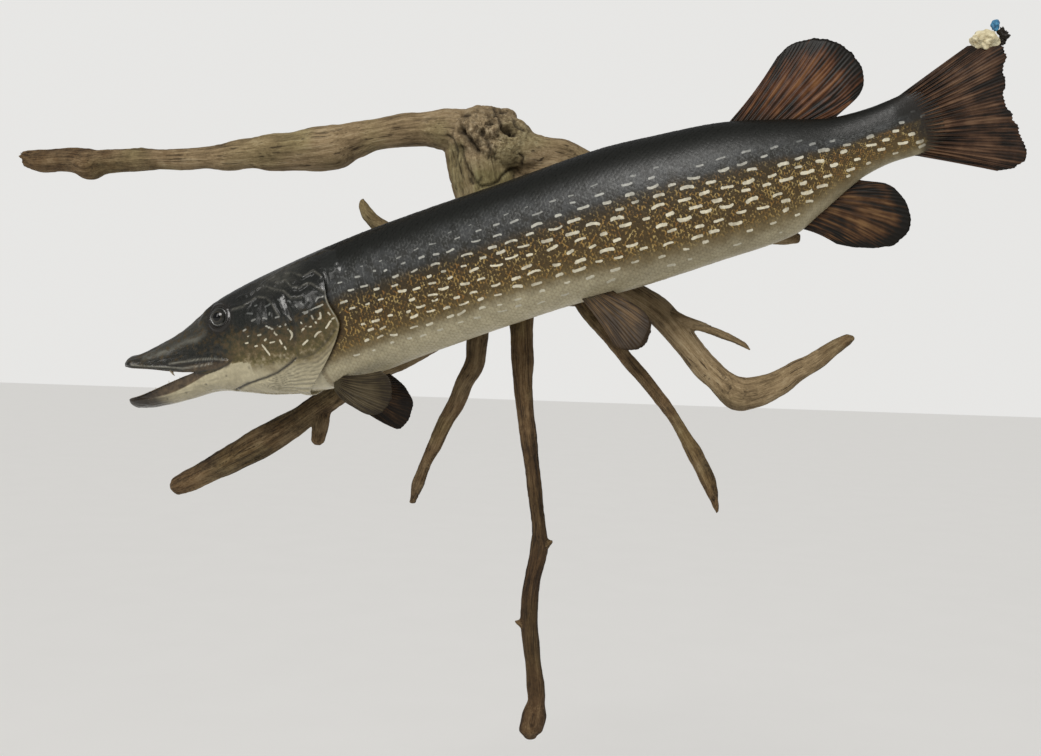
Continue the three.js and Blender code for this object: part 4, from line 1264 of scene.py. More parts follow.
# %% Teeth
enamel = speckled("old_enamel", 500, 3, [(0.3, (0.16, 0.12, 0.07)), (0.75, (0.42, 0.37, 0.26))],
                  Roughness=0.35, Coat_Weight=0.3, Coat_Roughness=0.15)
tooth = start_with(bpy.ops.mesh.primitive_cone_add, "tooth_model", vertices=12, radius1=0.5, radius2=0.06,
                   depth=1, location=(0, 0, 0.5))
bpy.ops.object.transform_apply(location=True)
bpy.ops.object.mode_set(mode="EDIT")
bpy.ops.mesh.subdivide(number_cuts=3)
bpy.ops.object.mode_set(mode="OBJECT")
for v in tooth.data.vertices:
    v.co.x += 0.35 * v.co.z**2
    v.co.xy *= 1 - 0.25 * math.sin(math.pi * min(max(v.co.z, 0), 1))
BELOW = ((10, 1.6), (17, 2.0), (24, 2.4), (33, 3.4), (42, 2.2), (50, 4.2), (57, 2.4), (64, 3.0))
ABOVE = ((9, 1.4), (15, 1.8), (22, 1.6), (30, 1.8), (39, 1.4), (48, 1.6))
TEETH = [(part, u, side, high) for part, sizes in (("jaw", BELOW), ("skull", ABOVE)) for side in (1, -1)
         for u, high in sizes]
TEETH += [("skull", 57, 1, 7.0), ("skull", 61, -1, 3.4)]
STOUT = 7.0  # the one dog tooth above is also thicker
row = []
for part, u, side, high in TEETH:
    lower = part == "jaw"
    half = float(jaw_width(u) if lower else width(u)) - 2.6
    level = float(jaw_rim(u) - 0.6 if lower else lip(u) + 0.8)
    upright, stretch = 1 if lower else -1, high * (0.8 if high == STOUT else 0.5)
    copy = add_object("tooth", tooth.data.copy())
    for v in copy.data.vertices:
        x, y, z = v.co
        v.co = Vector(place(u + stretch * x, side * (half + stretch * y), level + upright * high * z) * MM)
    row.append(copy)
bpy.data.objects.remove(tooth)
teeth = join(row, "teeth")
face_out(teeth)
bpy.ops.object.shade_smooth_by_angle(angle=math.radians(60))
dress(teeth, enamel, "painted_skin_jaw")
print("teeth:", len(TEETH))

# %% [markdown]
# ## Fins
# A fin is a fan of bony rays that split towards the edge, with thin skin between them. It could be cut
# from a plane; here each fin is a thin plate woven between its root line and its outer edge, thicker
# where a ray runs, and every ray divides in two halfway out. Dried fins curl, so the plates wave a bit.

# %% Weave a fin
def path_along(points, share):
    """Evenly spaced places on a smooth line through points."""
    points = np.array(points, float)
    d = run_along(points)
    x, y = line(np.c_[d, points[:, 0]]), line(np.c_[d, points[:, 1]])
    fine = np.linspace(0, d[-1], 400)
    fx, fy = x(fine), y(fine)
    run = np.concatenate([[0], np.cumsum(np.hypot(np.diff(fx), np.diff(fy)))])
    at = np.interp(np.asarray(share) * run[-1], run, fine)
    return pack(x(at), y(at))


def stalk_half(u, w):
    """Half breadth of the body at places (u, w) of its side."""
    mid = widest(u)
    t = np.clip(np.where(w > mid, (w - mid) / (top(u) - mid), (mid - w) / (mid - belly(u))), 0, 1)
    return half_breadth(u) * (1 - t**2.3) ** (1 / 2.3)


def fin_net(root_line, edge_line, rays, steps, torn, bow, seed):
    """The fin laid flat, as a grid: share across, share outwards, reach after tears, and places (u, w)."""
    across = np.linspace(0, 1, rays * 9 + 1)
    down = np.linspace(0, 1, steps + 1) ** 0.9
    foot, rim = path_along(root_line, across), path_along(edge_line, across)
    x, t = np.meshgrid(across, down, indexing="ij")
    nicks = uneven(pack(x * 26, 0, seed))
    ragged = torn * (np.abs(np.sin(math.pi * rays * 2 * x)) + 1.6 * (nicks + 0.4))
    reach = t * (1 - np.clip(ragged, 0, 1) * ease(t, 0.75, 1))
    flat = foot[:, None] + (rim - foot)[:, None] * reach[..., None]
    lean = (rim - foot) / np.maximum(np.linalg.norm(rim - foot, axis=1, keepdims=True), 1)
    flat = flat + bow * np.sin(math.pi * reach)[..., None] * pack(-lean[:, 1], lean[:, 0])[:, None]
    return x, t, reach, flat[..., 0], flat[..., 1]


def ray_height(x, t, rays, seed):
    """1 on a ray and 0 between two. Every ray divides in two on its way out."""
    phase = x * rays + 0.25 * uneven(pack(x * 9, t * 2.2, seed + 3))
    single = (0.5 + 0.5 * np.cos(2 * math.pi * phase)) ** 1.6
    double = (0.5 + 0.5 * np.cos(4 * math.pi * phase)) ** 1.6
    return blend(single, double, ease(t, 0.42, 0.7))


def weave_fin(name, root_line, edge_line, side_of, rays, thick, thin=1.0, curl=0.0, seed=0, bow=0.0,
              steps=30, torn=0.006, over_stalk=False):
    """A closed plate with rays. side_of says how far out of the fish's middle each place (u, w, t) lies."""
    x, t, reach, u, w = fin_net(root_line, edge_line, rays, steps, torn, bow, seed)
    ray = ray_height(x, t, rays, seed)
    half = blend(thick, thin, t**0.8) / 2
    half = half * (0.55 + 0.5 * ray)
    end = np.minimum(1, (1 - t) * 14 + 0.25)
    first_and_last = np.minimum(np.minimum(x, 1 - x) * 60 + 0.3, 1)
    half = half * end * first_and_last
    if over_stalk:  # the rays rise out of the skin one by one
        rise = ease(reach, 0.0, 0.16)
        half = np.maximum(half * rise, (stalk_half(u, w) - 1.3 + 1.7 * ray * rise) * (u < 884))
    wave = curl * t**1.5 * np.sin(x * 9 + seed) + 0.5 * curl * t**2 * np.sin(x * 23 + 1.3 * seed)
    side = side_of(u, w, t) + wave
    front, back = place(u, side + half, w), place(u, side - half, w)
    rows, cols = x.shape
    index = np.arange(rows * cols).reshape(rows, cols)
    quads = quads_of(index)
    loop = np.concatenate([index[0, :-1], index[:-1, -1], index[-1, :0:-1], index[:0:-1, 0]])
    wall = pack(loop, loop + rows * cols, np.roll(loop, -1) + rows * cols, np.roll(loop, -1))
    polygons = np.concatenate([quads, quads[:, ::-1] + rows * cols, wall])
    fin = mesh_piece(name, np.concatenate([front.reshape(-1, 3), back.reshape(-1, 3)]),
                     polygons.tolist())
    face_out(fin)
    weave = pack(x * rays, t, ray).reshape(-1, 3)
    paint_on(fin.data, "weave", np.concatenate([weave, weave]))
    print(name, len(fin.data.polygons), "faces")
    return fin


# %% Fins on the middle line: root line, outer edge and how the plate leans
caudal = weave_fin(
    "tail_fin", [[846, 29.5], [851, 17], [854, 0], [851, -16], [844, -29.5]],
    [[923, 58], [940, 55], [957, 48], [950, 22], [945, -3], [949, -30], [950, -54], [942, -68], [920, -68]],
    lambda u, w, t: -10 * t * t + 3 * t * t * np.sin(w / 22), rays=24, thick=10, thin=1.1, curl=1.2,
    seed=2, steps=44, torn=0.012, over_stalk=True)
dorsal = weave_fin(
    "back_fin", [[678, 50], [712, 42], [745, 32], [776, 25]],
    [[748, 104], [762, 111], [781, 112], [799, 105], [816, 89], [823, 67], [818, 48], [805, 38], [790, 34]],
    lambda u, w, t: -4 * t * t, rays=17, thick=4.5, curl=1.3, seed=4, bow=-2.5)
anal = weave_fin(
    "vent_fin", [[715, -64], [740, -52], [780, -38]],
    [[752, -92.5], [766, -100], [784, -106.5], [803, -109.5], [812, -107], [819, -103.5], [825, -96],
     [828, -85], [825, -65], [814, -49], [794, -41]],
    lambda u, w, t: -3 * t * t, rays=15, thick=4.2, curl=1.1, seed=7, bow=2.5)

# %% Fins in pairs
near_pectoral = weave_fin(
    "breast_fin_near", [[229, -80], [226, -96]],
    [[286, -91], [293, -103], [289, -119], [280, -128], [269, -132], [256, -129], [240, -116]],
    lambda u, w, t: 22 + 0.36 * (u - 229), rays=14, thick=4, curl=0.7, seed=1, bow=-2)
far_pectoral = weave_fin(
    "breast_fin_far", [[229, -82], [230, -98]],
    [[272, -91], [283, -108], [287, -127], [281, -141], [268, -152], [254, -143], [238, -126]],
    lambda u, w, t: -22 - 0.3 * (u - 229), rays=14, thick=4, curl=0.8, seed=9, bow=-2)
PELVIC_LINES = ([[493, -68], [508, -70], [524, -72]],
                [[516, -131], [526, -138], [539, -139], [550, -130], [556, -116], [550, -101], [536, -89]])
near_pelvic = weave_fin("belly_fin_near", *PELVIC_LINES, lambda u, w, t: 15 - 0.18 * (w + 70),
                        rays=12, thick=4, curl=0.7, seed=5, bow=1.5)
far_pelvic = weave_fin("belly_fin_far", *PELVIC_LINES, lambda u, w, t: -15 + 0.18 * (w + 70),
                       rays=12, thick=4, curl=0.7, seed=6, bow=1.5)

# %% [markdown]
# ## Fin paint
# Varnished fins let the rays show as amber streaks between near-black ones, darker towards the edge.
# The streaks follow the weave, so the noise is stretched along the rays. The far breast fin gets a darker
# copy of the paint as painted shade.

# %% Fin finishes
def fin_paint(name, dark, amber, bright, edge_dark, root, cover):
    """cover is the share of dark streaks, edge_dark darkens the edge, root is the colour at the body."""
    paint = Finish(name, Coat_Weight=0.1, Coat_Roughness=0.3, Specular_IOR_Level=0.15)
    ray_number, out, ray = paint.read("weave")
    streaked = paint.node("CombineXYZ")
    paint.feed(ray_number, streaked.inputs[0])
    paint.feed(paint.times(out, 1.3), streaked.inputs[1])
    streak = paint.noise(streaked.outputs[0], 0.85, 3, 0.6)
    blotch = paint.noise(paint.position(), 42, 3)
    value = paint.plus(paint.times(streak, 0.75), paint.times(blotch, 0.35),
                       paint.times(paint.less(ray, 0.45), 0.07))
    value = paint.less(value, paint.between(out, 0.72, 1.0, 0.0, edge_dark))
    between = tuple(0.4 * (d + a) for d, a in zip(dark, amber))
    colour = paint.ramp(value, [(cover - 0.06, dark), (cover, between), (cover + 0.06, amber),
                                (cover + 0.17, bright)])
    colour = paint.mix(paint.between(out, 0.02, 0.2, 0.9, 0.0), colour, root)
    paint.colour(colour)
    paint.rough(paint.between(streak, 0.3, 0.7, 0.48, 0.68))
    lines = paint.plus(ray, paint.times(streak, 0.5))
    paint.bump(lines, 0.3, 0.0008)
    return paint


amber_fin = fin_paint("amber_fin", (0.004, 0.003, 0.0015), (0.066, 0.023, 0.007), (0.155, 0.068, 0.023),
                      0.17, (0.016, 0.010, 0.005), 0.515)
umber_fin = fin_paint("umber_fin", (0.004, 0.003, 0.0015), (0.052, 0.023, 0.008), (0.135, 0.072, 0.028),
                      0.17, (0.016, 0.010, 0.005), 0.515)
tail_paint = fin_paint("tail_fin_paint", (0.005, 0.003, 0.0015), (0.050, 0.024, 0.012), (0.125, 0.070, 0.038),
                       0.08, (0.010, 0.008, 0.006), 0.505)
olive_fin = fin_paint("olive_fin", (0.018, 0.012, 0.006), (0.040, 0.029, 0.013), (0.066, 0.050, 0.026),
                      0.08, (0.075, 0.062, 0.036), 0.48)
brown_fin = fin_paint("brown_fin", (0.026, 0.016, 0.008), (0.052, 0.033, 0.017), (0.115, 0.072, 0.034),
                      0.10, (0.20, 0.17, 0.11), 0.48)
# a darker copy of the fin paint: painted shade for the far breast fin, in the body's shadow; the dark shred
# on the tail tip wears it too
shaded_fin_and_black_shred = fin_paint("shaded_fin_and_black_shred", (0.006, 0.0035, 0.0015), (0.026, 0.014, 0.006), (0.085, 0.044, 0.018),
                      0.05, (0.010, 0.007, 0.004), 0.52)
dress(caudal, tail_paint, "painted_fin", "caudal_fin")
dress(dorsal, amber_fin, "painted_fin", "dorsal_fin")
dress(anal, umber_fin, "painted_fin", "anal_fin")
dress(near_pectoral, olive_fin, "painted_fin_olive", "pectoral_fin_left")
dress(far_pectoral, shaded_fin_and_black_shred, "painted_fin", "pectoral_fin_right")
dress(near_pelvic, brown_fin, "painted_fin_olive", "pelvic_fin_left")
dress(far_pelvic, brown_fin, "painted_fin_olive", "pelvic_fin_right")
print("fin paints:", 6)

# %% [markdown]
# ## The mended tail tip
# The tail's upper tip was broken and patched: a dab of cream putty, a scrap of blue tape and a dark
# shred. Each starts as a ball and is pinched out of true.

# %% Putty, tape and shred
def lump(name, centre, radii, rough_mm, seed):
    """A ball pulled to its radii and made uneven by rough_mm."""
    piece = start_with(bpy.ops.mesh.primitive_ico_sphere_add, name, subdivisions=5, radius=1)
    co = np.array([v.co for v in piece.data.vertices])
    body = co * radii
    body += co * (rough_mm * (uneven(co * 2.2 + seed, seed) + 0.5 * uneven(co * 5 + seed, seed + 1)))[:, None]
    for v, point in zip(piece.data.vertices, body + centre):
        v.co = Vector(point * MM)
    bpy.ops.object.shade_smooth()
    return piece


putty = lump("tail_patch_putty", place(940, -8, 58), (13.5, 7.5, 8.5), 2.2, 3)
tape = lump("tail_patch_tape", place(953, -8, 69), (4.2, 2.6, 5.6), 0.8, 8)
shred = lump("tail_patch_shred", place(957, -8.5, 57), (4.5, 2.0, 7.5), 2.6, 14)
cream_putty = speckled("repair_putty", 160, 4, [(0.3, (0.34, 0.27, 0.14)), (0.55, (0.62, 0.56, 0.38)),
                                                (0.8, (0.72, 0.68, 0.5))],
                       bump=(500, 4, 0.6, 0.001), Roughness=0.85)
blue_tape = speckled("blue_tape", 260, 3, [(0.3, (0.012, 0.07, 0.16)), (0.7, (0.05, 0.25, 0.42))],
                     bump=(700, 2, 0.4, 0.0006), Roughness=0.6)
dress(putty, cream_putty, "repair_putty", "tail_putty")
dress(tape, blue_tape, "blue_tape", "tail_blue_scrap")
dress(shred, shaded_fin_and_black_shred, "painted_fin")
print("lumps on the tail tip:", len(putty.data.vertices), "points each")

# %% [markdown]
# ## Driftwood
# Water takes the bark and soft wood and leaves a grey root with long cracks, flutes that follow the
# grain, knots and worn stubs. The limbs are swept tubes; a remesh melts them into one root, and then
# the surface is carved along the grain: each point knows its place along its limb, so cracks run
# lengthwise as in real wood.

# %% Limbs: rows of [x, depth from the wall, z, radius]
LIMBS = {
    "long_left": [[-631, 46, 103, 4], [-622, 46, 99, 11], [-602, 47, 96, 13.5], [-560, 48, 96, 14.5],
                  [-541, 48, 92, 18], [-522, 48, 95, 14.5], [-465, 49, 97, 12.5], [-404, 50, 98, 12.3],
                  [-356, 50, 102, 16.5], [-296, 51, 106, 21.5], [-244, 52, 110, 24.5], [-222, 52, 117, 20],
                  [-193, 52, 124, 16.4], [-146, 53, 129, 18], [-104, 54, 127, 24], [-74, 54, 124, 27]],
    "lower_left": [[-433, 50, -281, 4], [-424, 50, -279, 10.5], [-406, 49, -271, 13], [-369, 48, -251, 15.5],
                   [-327, 48, -227, 17.5], [-290, 47, -205, 15], [-252, 46, -178, 13.6],
                   [-213, 44, -152, 14.5], [-129, 40, -98, 17], [-50, 38, -44, 22]],
    "knub": [[-250, 46, -184, 8], [-254, 48, -203, 10], [-257, 48, -221, 8.3], [-257, 48, -227, 4]],
    "down_left": [[-144, 52, -286, 3], [-137, 52, -261, 6.6], [-130, 51, -240, 7], [-121, 50, -221, 8.2],
                  [-110, 49, -195, 8.8], [-98, 48, -172, 9.3], [-90, 47, -151, 10.2], [-79, 46, -129, 12],
                  [-77, 44, -106, 12.4], [-72, 42, -77, 12], [-46, 40, -40, 15]],
    "down_long": [[-4, 50, -540, 6], [-4, 50, -530, 13], [-1, 50, -514, 14.6], [2, 50, -497, 10.2],
                  [0, 50, -475, 10], [-7, 50, -431, 10.2], [-8, 50, -387, 9.3], [-6, 50, -365, 8.8],
                  [0, 50, -329, 10], [-1, 50, -304, 8.4], [-5, 50, -276, 8.6], [-11, 49, -232, 9.6],
                  [-18, 48, -189, 10], [-23, 46, -145, 11.2], [-26, 44, -101, 12], [-27, 42, -60, 14],
                  [-20, 40, -28, 18]],
    "down_right": [[192, 52, -281, 2.4], [189, 52, -271, 5], [185, 52, -258, 8], [180, 52, -245, 9.6],
                   [168, 51, -223, 8.8], [156, 50, -202, 7.4], [143, 50, -181, 7], [109, 48, -139, 7.4],
                   [90, 47, -118, 7.4], [72, 46, -96, 8.6], [54, 44, -76, 9], [40, 42, -58, 10],
                   [24, 40, -30, 14]],
    "elbow": [[327, 56, -90, 3], [319, 56, -92, 6.8], [305, 55, -101, 8.6], [285, 54, -117, 10.6],
              [267, 53, -127, 11.8], [249, 52, -140, 13.5], [223, 51, -151, 15.8], [208, 50, -152, 18],
              [184, 49, -134, 14], [167, 48, -117, 13.5], [147, 47, -94, 13.5], [121, 45, -66, 14.5],
              [87, 42, -44, 14], [46, 40, -22, 18]],
    "twig": [[221, 54, -106, 2.2], [211, 54, -99, 4.4], [190, 53, -90, 5.2], [170, 52, -82, 5.4],
             [155, 51, -78, 6.4], [136, 49, -71, 8.4], [112, 46, -60, 11]],
    "hook": [[-209, 58, 51, 2.4], [-206, 58, 43, 6], [-199, 57, 32, 8.4], [-184, 54, 19, 11.5],
             [-164, 50, 10, 13], [-119, 44, 6, 13], [-62, 40, 2, 16]],
    "rear_stub": [[268, 50, 13, 5.2], [252, 48, 15, 7.4], [185, 45, 18, 9.6], [79, 40, 6, 15],
                  [50, 38, 0, 18]],
    "neck": [[-78, 50, 112, 38], [-74, 48, 84, 37], [-66, 45, 54, 37], [-46, 40, 20, 40]],
    "shoulder": [[-60, 54, 112, 30], [-26, 54, 103, 24], [8, 50, 102, 17], [36, 45, 96, 12.5],
                 [58, 38, 84, 8]],
    "spur_right": [[-2, 50, -329, 7], [6, 52, -325, 5.5], [13, 54, -321, 3], [16, 54, -319, 1.4]],
    "spur_left": [[-7, 50, -418, 7], [-15, 51, -415, 5], [-22, 52, -412, 3], [-25, 52, -411, 1.4]],
}
# balls that thicken crown and burl: (x, depth, z, three radii)
BALLS = [(-8, 34, -4, 84, 44, 52), (30, 34, -22, 62, 40, 40), (-72, 54, 116, 42, 34, 38),
         (-50, 52, 139, 13, 13, 14), (-46, 56, 110, 30, 28, 32), (-6, 46, 84, 40, 22, 27)]
# shade along each limb from its free end: 0 is pale wood, 1 and more is dark wood; the top of the long
# hanging limb, under the fish, is darker as painted shade
SHADE = {"long_left": (0.9, 0.65, 0.3, 0.25, 0.15, 0.25), "lower_left": (0.75, 0.65, 0.6),
         "knub": (0.7, 0.7), "down_left": (0.65, 0.6, 0.8), "down_long": (1.1, 1.6, 1.5, 0.85, 1.0),
         "down_right": (0.8, 0.6, 0.6, 0.8), "elbow": (0.6, 0.25, 0.1, 0.2, 0.6), "twig": (0.25, 0.2, 0.55),
         "hook": (0.4, 0.5), "rear_stub": (0.5, 0.5), "neck": (0.3, 0.3), "shoulder": (0.15, 0.1),
         "spur_right": (0.9, 0.9), "spur_left": (0.95, 0.95)}
UPPER = ("long_left", "hook", "rear_stub", "neck", "shoulder")


def sweep_line(rows, per=10):
    """Centre line, radius, direction and distance along a limb, on a smooth path through its rows."""
    rows = np.array(rows, float)
    centres = rows[:, :3] * (1, -1, 1)
    ends = np.vstack([2 * centres[0] - centres[1], centres, 2 * centres[-1] - centres[-2]])
    out = []
    for i in range(1, len(ends) - 2):
        p0, p1, p2, p3 = ends[i - 1:i + 3]
        d0, d1, d2 = (max(float(np.linalg.norm(b - a)) ** 0.5, 1e-3)
                      for a, b in ((p0, p1), (p1, p2), (p2, p3)))
        m1 = ((p1 - p0) / d0 - (p2 - p0) / (d0 + d1) + (p2 - p1) / d1) * d1
        m2 = ((p2 - p1) / d1 - (p3 - p1) / (d1 + d2) + (p3 - p2) / d2) * d1
        last = i == len(ends) - 3
        for t in np.linspace(0, 1, per + 1)[:None if last else -1]:
            c = ((2 * t**3 - 3 * t**2 + 1) * p1 + (t**3 - 2 * t**2 + t) * m1
                 + (3 * t**2 - 2 * t**3) * p2 + (t**3 - t**2) * m2)
            out.append([*c, blend(rows[i - 1, 3], rows[i, 3], float(ease(t, 0, 1)))])
    out = np.array(out)
    centre, radius = out[:, :3], out[:, 3]
    forward = np.gradient(centre, axis=0)
    forward /= np.linalg.norm(forward, axis=1, keepdims=True)
    run = run_along(centre)
    return centre, radius, forward, run


SIDES = 20
lines_of_wood = {}


def sweep(name, seed):
    """A closed tube with an uneven section along one limb."""
    centre, radius, forward, run = lines_of_wood[name]
    level = np.cross((0, 1, 0), forward)
    level /= np.linalg.norm(level, axis=1, keepdims=True)
    out = np.cross(forward, level)
    a = np.linspace(0, 2 * math.pi, SIDES, False)
    a2, s2 = np.meshgrid(a, run, indexing="xy")
    swell = 1 + 0.10 * uneven(pack(np.cos(a2) * 1.1, np.sin(a2) * 1.1, s2 / 26), seed)
    ring = (centre[:, None] + level[:, None] * (np.cos(a2) * swell * radius[:, None])[..., None]
            + out[:, None] * (0.92 * np.sin(a2) * swell * radius[:, None])[..., None])
    n = len(run)
    index = np.arange(n * SIDES).reshape(n, SIDES)
    polygons = quads_of(index, True).tolist() + [index[0][::-1].tolist(), index[-1].tolist()]
    return mesh_piece("limb_" + name, ring.reshape(-1, 3), polygons)


for name, rows in LIMBS.items():
    lines_of_wood[name] = sweep_line(rows)
print("metres of root:", round(sum(v[3][-1] for v in lines_of_wood.values()) / 1000, 2))

# %% Melt the limbs together
VOXEL = 0.0019  # metres


def melt(name, limbs, balls):
    """Sweeps the limbs, adds the balls and lets a remesh melt them into one closed root."""
    parts = [sweep(limb, n) for n, limb in enumerate(limbs)]
    for part in parts:
        face_out(part)
    for x, depth, z, rx, ry, rz in balls:
        ball = start_with(bpy.ops.mesh.primitive_ico_sphere_add, "ball", subdivisions=4, radius=1,
                          location=(x * MM, -depth * MM, z * MM), scale=(rx * MM, ry * MM, rz * MM))
        settle(ball)
        parts.append(ball)
    root = join(parts, name)
    remesh = root.modifiers.new("melt", "REMESH")
    remesh.mode, remesh.voxel_size, remesh.use_smooth_shade = "VOXEL", VOXEL, True
    bpy.ops.object.modifier_apply(modifier=remesh.name)
    relax = root.modifiers.new("relax", "SMOOTH")
    relax.factor, relax.iterations = 0.5, 4
    bpy.ops.object.modifier_apply(modifier=relax.name)
    print(name, "melted,", len(root.data.vertices), "points")
    return root


lower_limbs = [n for n in LIMBS if n not in UPPER]
upper_limbs = [n for n in LIMBS if n in UPPER]
upper_root = melt("driftwood_upper", upper_limbs, BALLS)
lower_root = melt("driftwood_lower", lower_limbs, [])

# %% Where each point lies on its limb
def read_vectors(data, key):
    """The vectors of a mesh's points or normals, as an array."""
    values = np.empty(len(data) * 3, np.float32)
    data.foreach_get(key, values)
    return values.reshape(-1, 3).astype(float)


AT_ONCE = 20000  # points handled at one time
FAR_APART = 400  # millimetres between the grains of two limbs, so that they don't match


def grain_of(points, limbs):
    """Each point's place across and along its nearest limb, and that limb's shade."""
    best, grain, shade = np.full(len(points), 1e9), np.zeros((len(points), 3)), np.zeros(len(points))
    for number, name in enumerate(limbs):
        centre, radius, forward, run = lines_of_wood[name]
        for start in range(0, len(points), AT_ONCE):
            part = slice(start, start + AT_ONCE)
            p = points[part]
            gap = np.linalg.norm(p[:, None] - centre[None, ::2], axis=2) - radius[None, ::2]
            near = gap.argmin(1) * 2
            d = gap.min(1)
            level = np.cross((0, 1, 0), forward[near])
            level /= np.linalg.norm(level, axis=1, keepdims=True)
            rel = p - centre[near]
            across, up, along = level, np.cross(forward[near], level), forward[near]
            found = pack((rel * across).sum(1), (rel * up).sum(1),
                         run[near] + (rel * along).sum(1) + FAR_APART * number)
            closer = d < best[part]
            grain[part] = np.where(closer[:, None], found, grain[part])
            tones = np.interp(run[near], np.linspace(0, run[-1], len(SHADE[name])), SHADE[name])
            shade[part] = np.where(closer, tones, shade[part])
            best[part] = np.where(closer, d, best[part])
    return grain, shade


print("points to carve:", len(upper_root.data.vertices) + len(lower_root.data.vertices))

# %% [markdown]
# ## Carving the wood
# A carver would cut along the grain with a gouge. Here each point moves along its normal by flutes and
# cracks that are long in the direction of the limb. The burl has its own knots, hollows and clefts, which
# are drawn as marks with a width and a depth, like the bones of the head.

# %% Marks of the burl
# hollows of the burl as (x, z, half width, half height, depth) and its clefts as lines with width and depth
PITS = [(-42, 123, 8, 6, 13), (-36, 119.5, 6, 5, 11), (-68.5, 118.5, 4.5, 6.5, 8), (-94, 121, 5, 4.5, 6),
        (-60, 129, 6, 3, 4), (-90, 140, 7, 3, 3), (-50, 145, 5, 3, 3)]
CLEFTS = [([(-92, 124), (-86, 114), (-80.6, 108), (-73.8, 98)], 3.2, 9.0),
          ([(-91, 105), (-88, 87), (-82, 77), (-79, 66)], 1.8, 3.2),
          ([(-28.6, 96.5), (-25.9, 92.7), (-26.4, 86)], 1.5, 3.0),
          ([(-60, 150), (-52, 134), (-49, 124)], 1.6, 2.6), ([(-38, 137), (-34, 128), (-26, 124)], 1.6, 2.4),
          ([(-110, 118), (-100, 112), (-98, 98), (-101, 84)], 1.6, 2.6),
          ([(-66, 112), (-60, 103), (-62, 92)], 1.4, 2.2)]
FLAKE = [(-79.7, 74.7), (-75.5, 67), (-70, 62), (-59.7, 64), (-52, 68), (-47, 76), (-41.8, 81.2), (-34, 82.5),
         (-30.7, 77.4), (-21, 76.8)]


def carve_burl(points, grain, pitted, h, deep, green, shade):
    """Works the burl, its neck and the split end of the long limb. Returns the four arrays and the knurl."""
    x, z = points[:, 0].copy(), points[:, 2].copy()
    burl = mound(x, z, -62, 118, 44, 34)
    gnarl = uneven(points / 10.0, 31) + 0.6 * uneven(points / 5.0, 32)
    seam = ease(1 - np.abs(gnarl), 0.84, 1.0)
    plate = ease(82 - z, -6, 6) * ease(x, -84, -74) * fade(x, -10, 0)
    h = h + burl * (1 - plate) * (3.2 * gnarl - 1.8 * seam)
    deep = np.maximum(deep, 0.75 * burl * seam * (1 - plate))
    front = ease(-points[:, 1], 56, 68)
    # strips of bark run down the left of the neck
    strips = ease(-86 - x, 0, 5) * ease(x, -116, -108) * ease(z, 50, 62) * fade(z, 104, 116) * front
    corded = np.sin(1.5 * x + 0.05 * z + 1.2 * uneven(points / 12, 33))
    h = h + 0.9 * strips * corded
    deep = np.maximum(deep, 0.5 * strips * ease(-corded, 0.4, 1))
    for px, pz, rx, rz, down in PITS:
        r = np.hypot((x - px) / rx, (z - pz) / rz) + 0.25 * pitted
        hole = fade(r, 0.5, 1.15) * front
        h = h - down * hole
        deep = np.maximum(deep, hole)
    for path, wide, down in CLEFTS:
        cut = drawn(x + 1.6 * pitted, z + 1.6 * gnarl, path, wide) * front
        h = h - down * cut
        deep = np.maximum(deep, cut)
    flake = drawn(x, z, FLAKE, 1.3)
    h = h - 2.6 * flake * front
    deep = np.maximum(deep, 0.95 * flake * front)
    shade = blend(shade, 0.75, ease(x, -36, -28) * fade(z, 74, 84) * front)
    fresh = mound(x, z, -50, 112, 9, 6) * front
    shade = shade - 0.8 * fresh
    green = np.maximum(green, np.maximum(0.7 * strips, plate * front * (x < -36)))
    # the far end of the long limb is split and broken
    end = ease(-x, 604, 632)
    points[:, 0] += end * 10 * uneven(grain * (0.25, 0.25, 0), 41)
    h = h - 3.0 * end * ease(np.abs(uneven(grain * (0.16, 0.16, 0.004), 42)), 0.3, 0.0)
    return h, deep, green, shade, burl * (1 - 0.8 * plate)


# %% Carve both roots
SAWN_BACK = -0.05  # the crown is flat from here, in millimetres


def carve(root, limbs, seed, has_burl):
    """Presses flutes, cracks and pits into a root. The paint gets (shade, depth of crack for painted shade,
    green tint).
    """
    points = read_vectors(root.data.vertices, "co") / MM
    normals = read_vectors(root.data.vertex_normals, "vector")
    grain, shade = grain_of(points, limbs)
    g = grain * (1, 1, 0.05)
    flutes = uneven(g / 8.5, seed)
    splits = 1 - np.abs(uneven(g / 10.0, seed + 5) + 0.35 * uneven(g / 4.0, seed + 6))
    waves = uneven(points / 30.0, seed + 9)
    pitted = uneven(points / 4.5, seed + 2)
    crack = ease(splits, 0.95, 1.0) * ease(uneven(points / 34.0, seed + 12), -0.15, 0.35)
    h = 0.9 * flutes + 1.2 * waves + 0.28 * pitted - 1.5 * crack
    deep = 0.8 * crack
    green = 0.6 * ease(uneven(points / 40.0, seed + 15), 0.0, 0.7)
    knurl = np.zeros(len(points))
    if has_burl:
        h, deep, green, shade, knurl = carve_burl(points, grain, pitted, h, deep, green, shade)
    keep = ease(-points[:, 1], 1.0, 12.0)  # the back stays flat
    points = points + normals * (h * keep)[:, None]
    points[:, 1] = np.minimum(points[:, 1], SAWN_BACK)
    root.data.vertices.foreach_set("co", (points * MM).astype(np.float32).ravel())
    root.data.update()
    paint_on(root.data, "grain", grain * MM)
    # the depth of crack becomes painted shade in the paint
    paint_on(root.data, "tone_crack_shade_tint", pack(shade, deep, green))
    paint_on(root.data, "knurl", pack(knurl, knurl, knurl))
    print(root.name, len(root.data.polygons), "faces")


carve(upper_root, upper_limbs, 1, True)
carve(lower_root, lower_limbs, 2, False)

# %% [markdown]
# ## Weathered wood
# Bleached fibres over brown wood: fine lines along the grain, painted shade in cracks, splits, pits and
# clefts, a few dark and green-grey patches, matt all over.

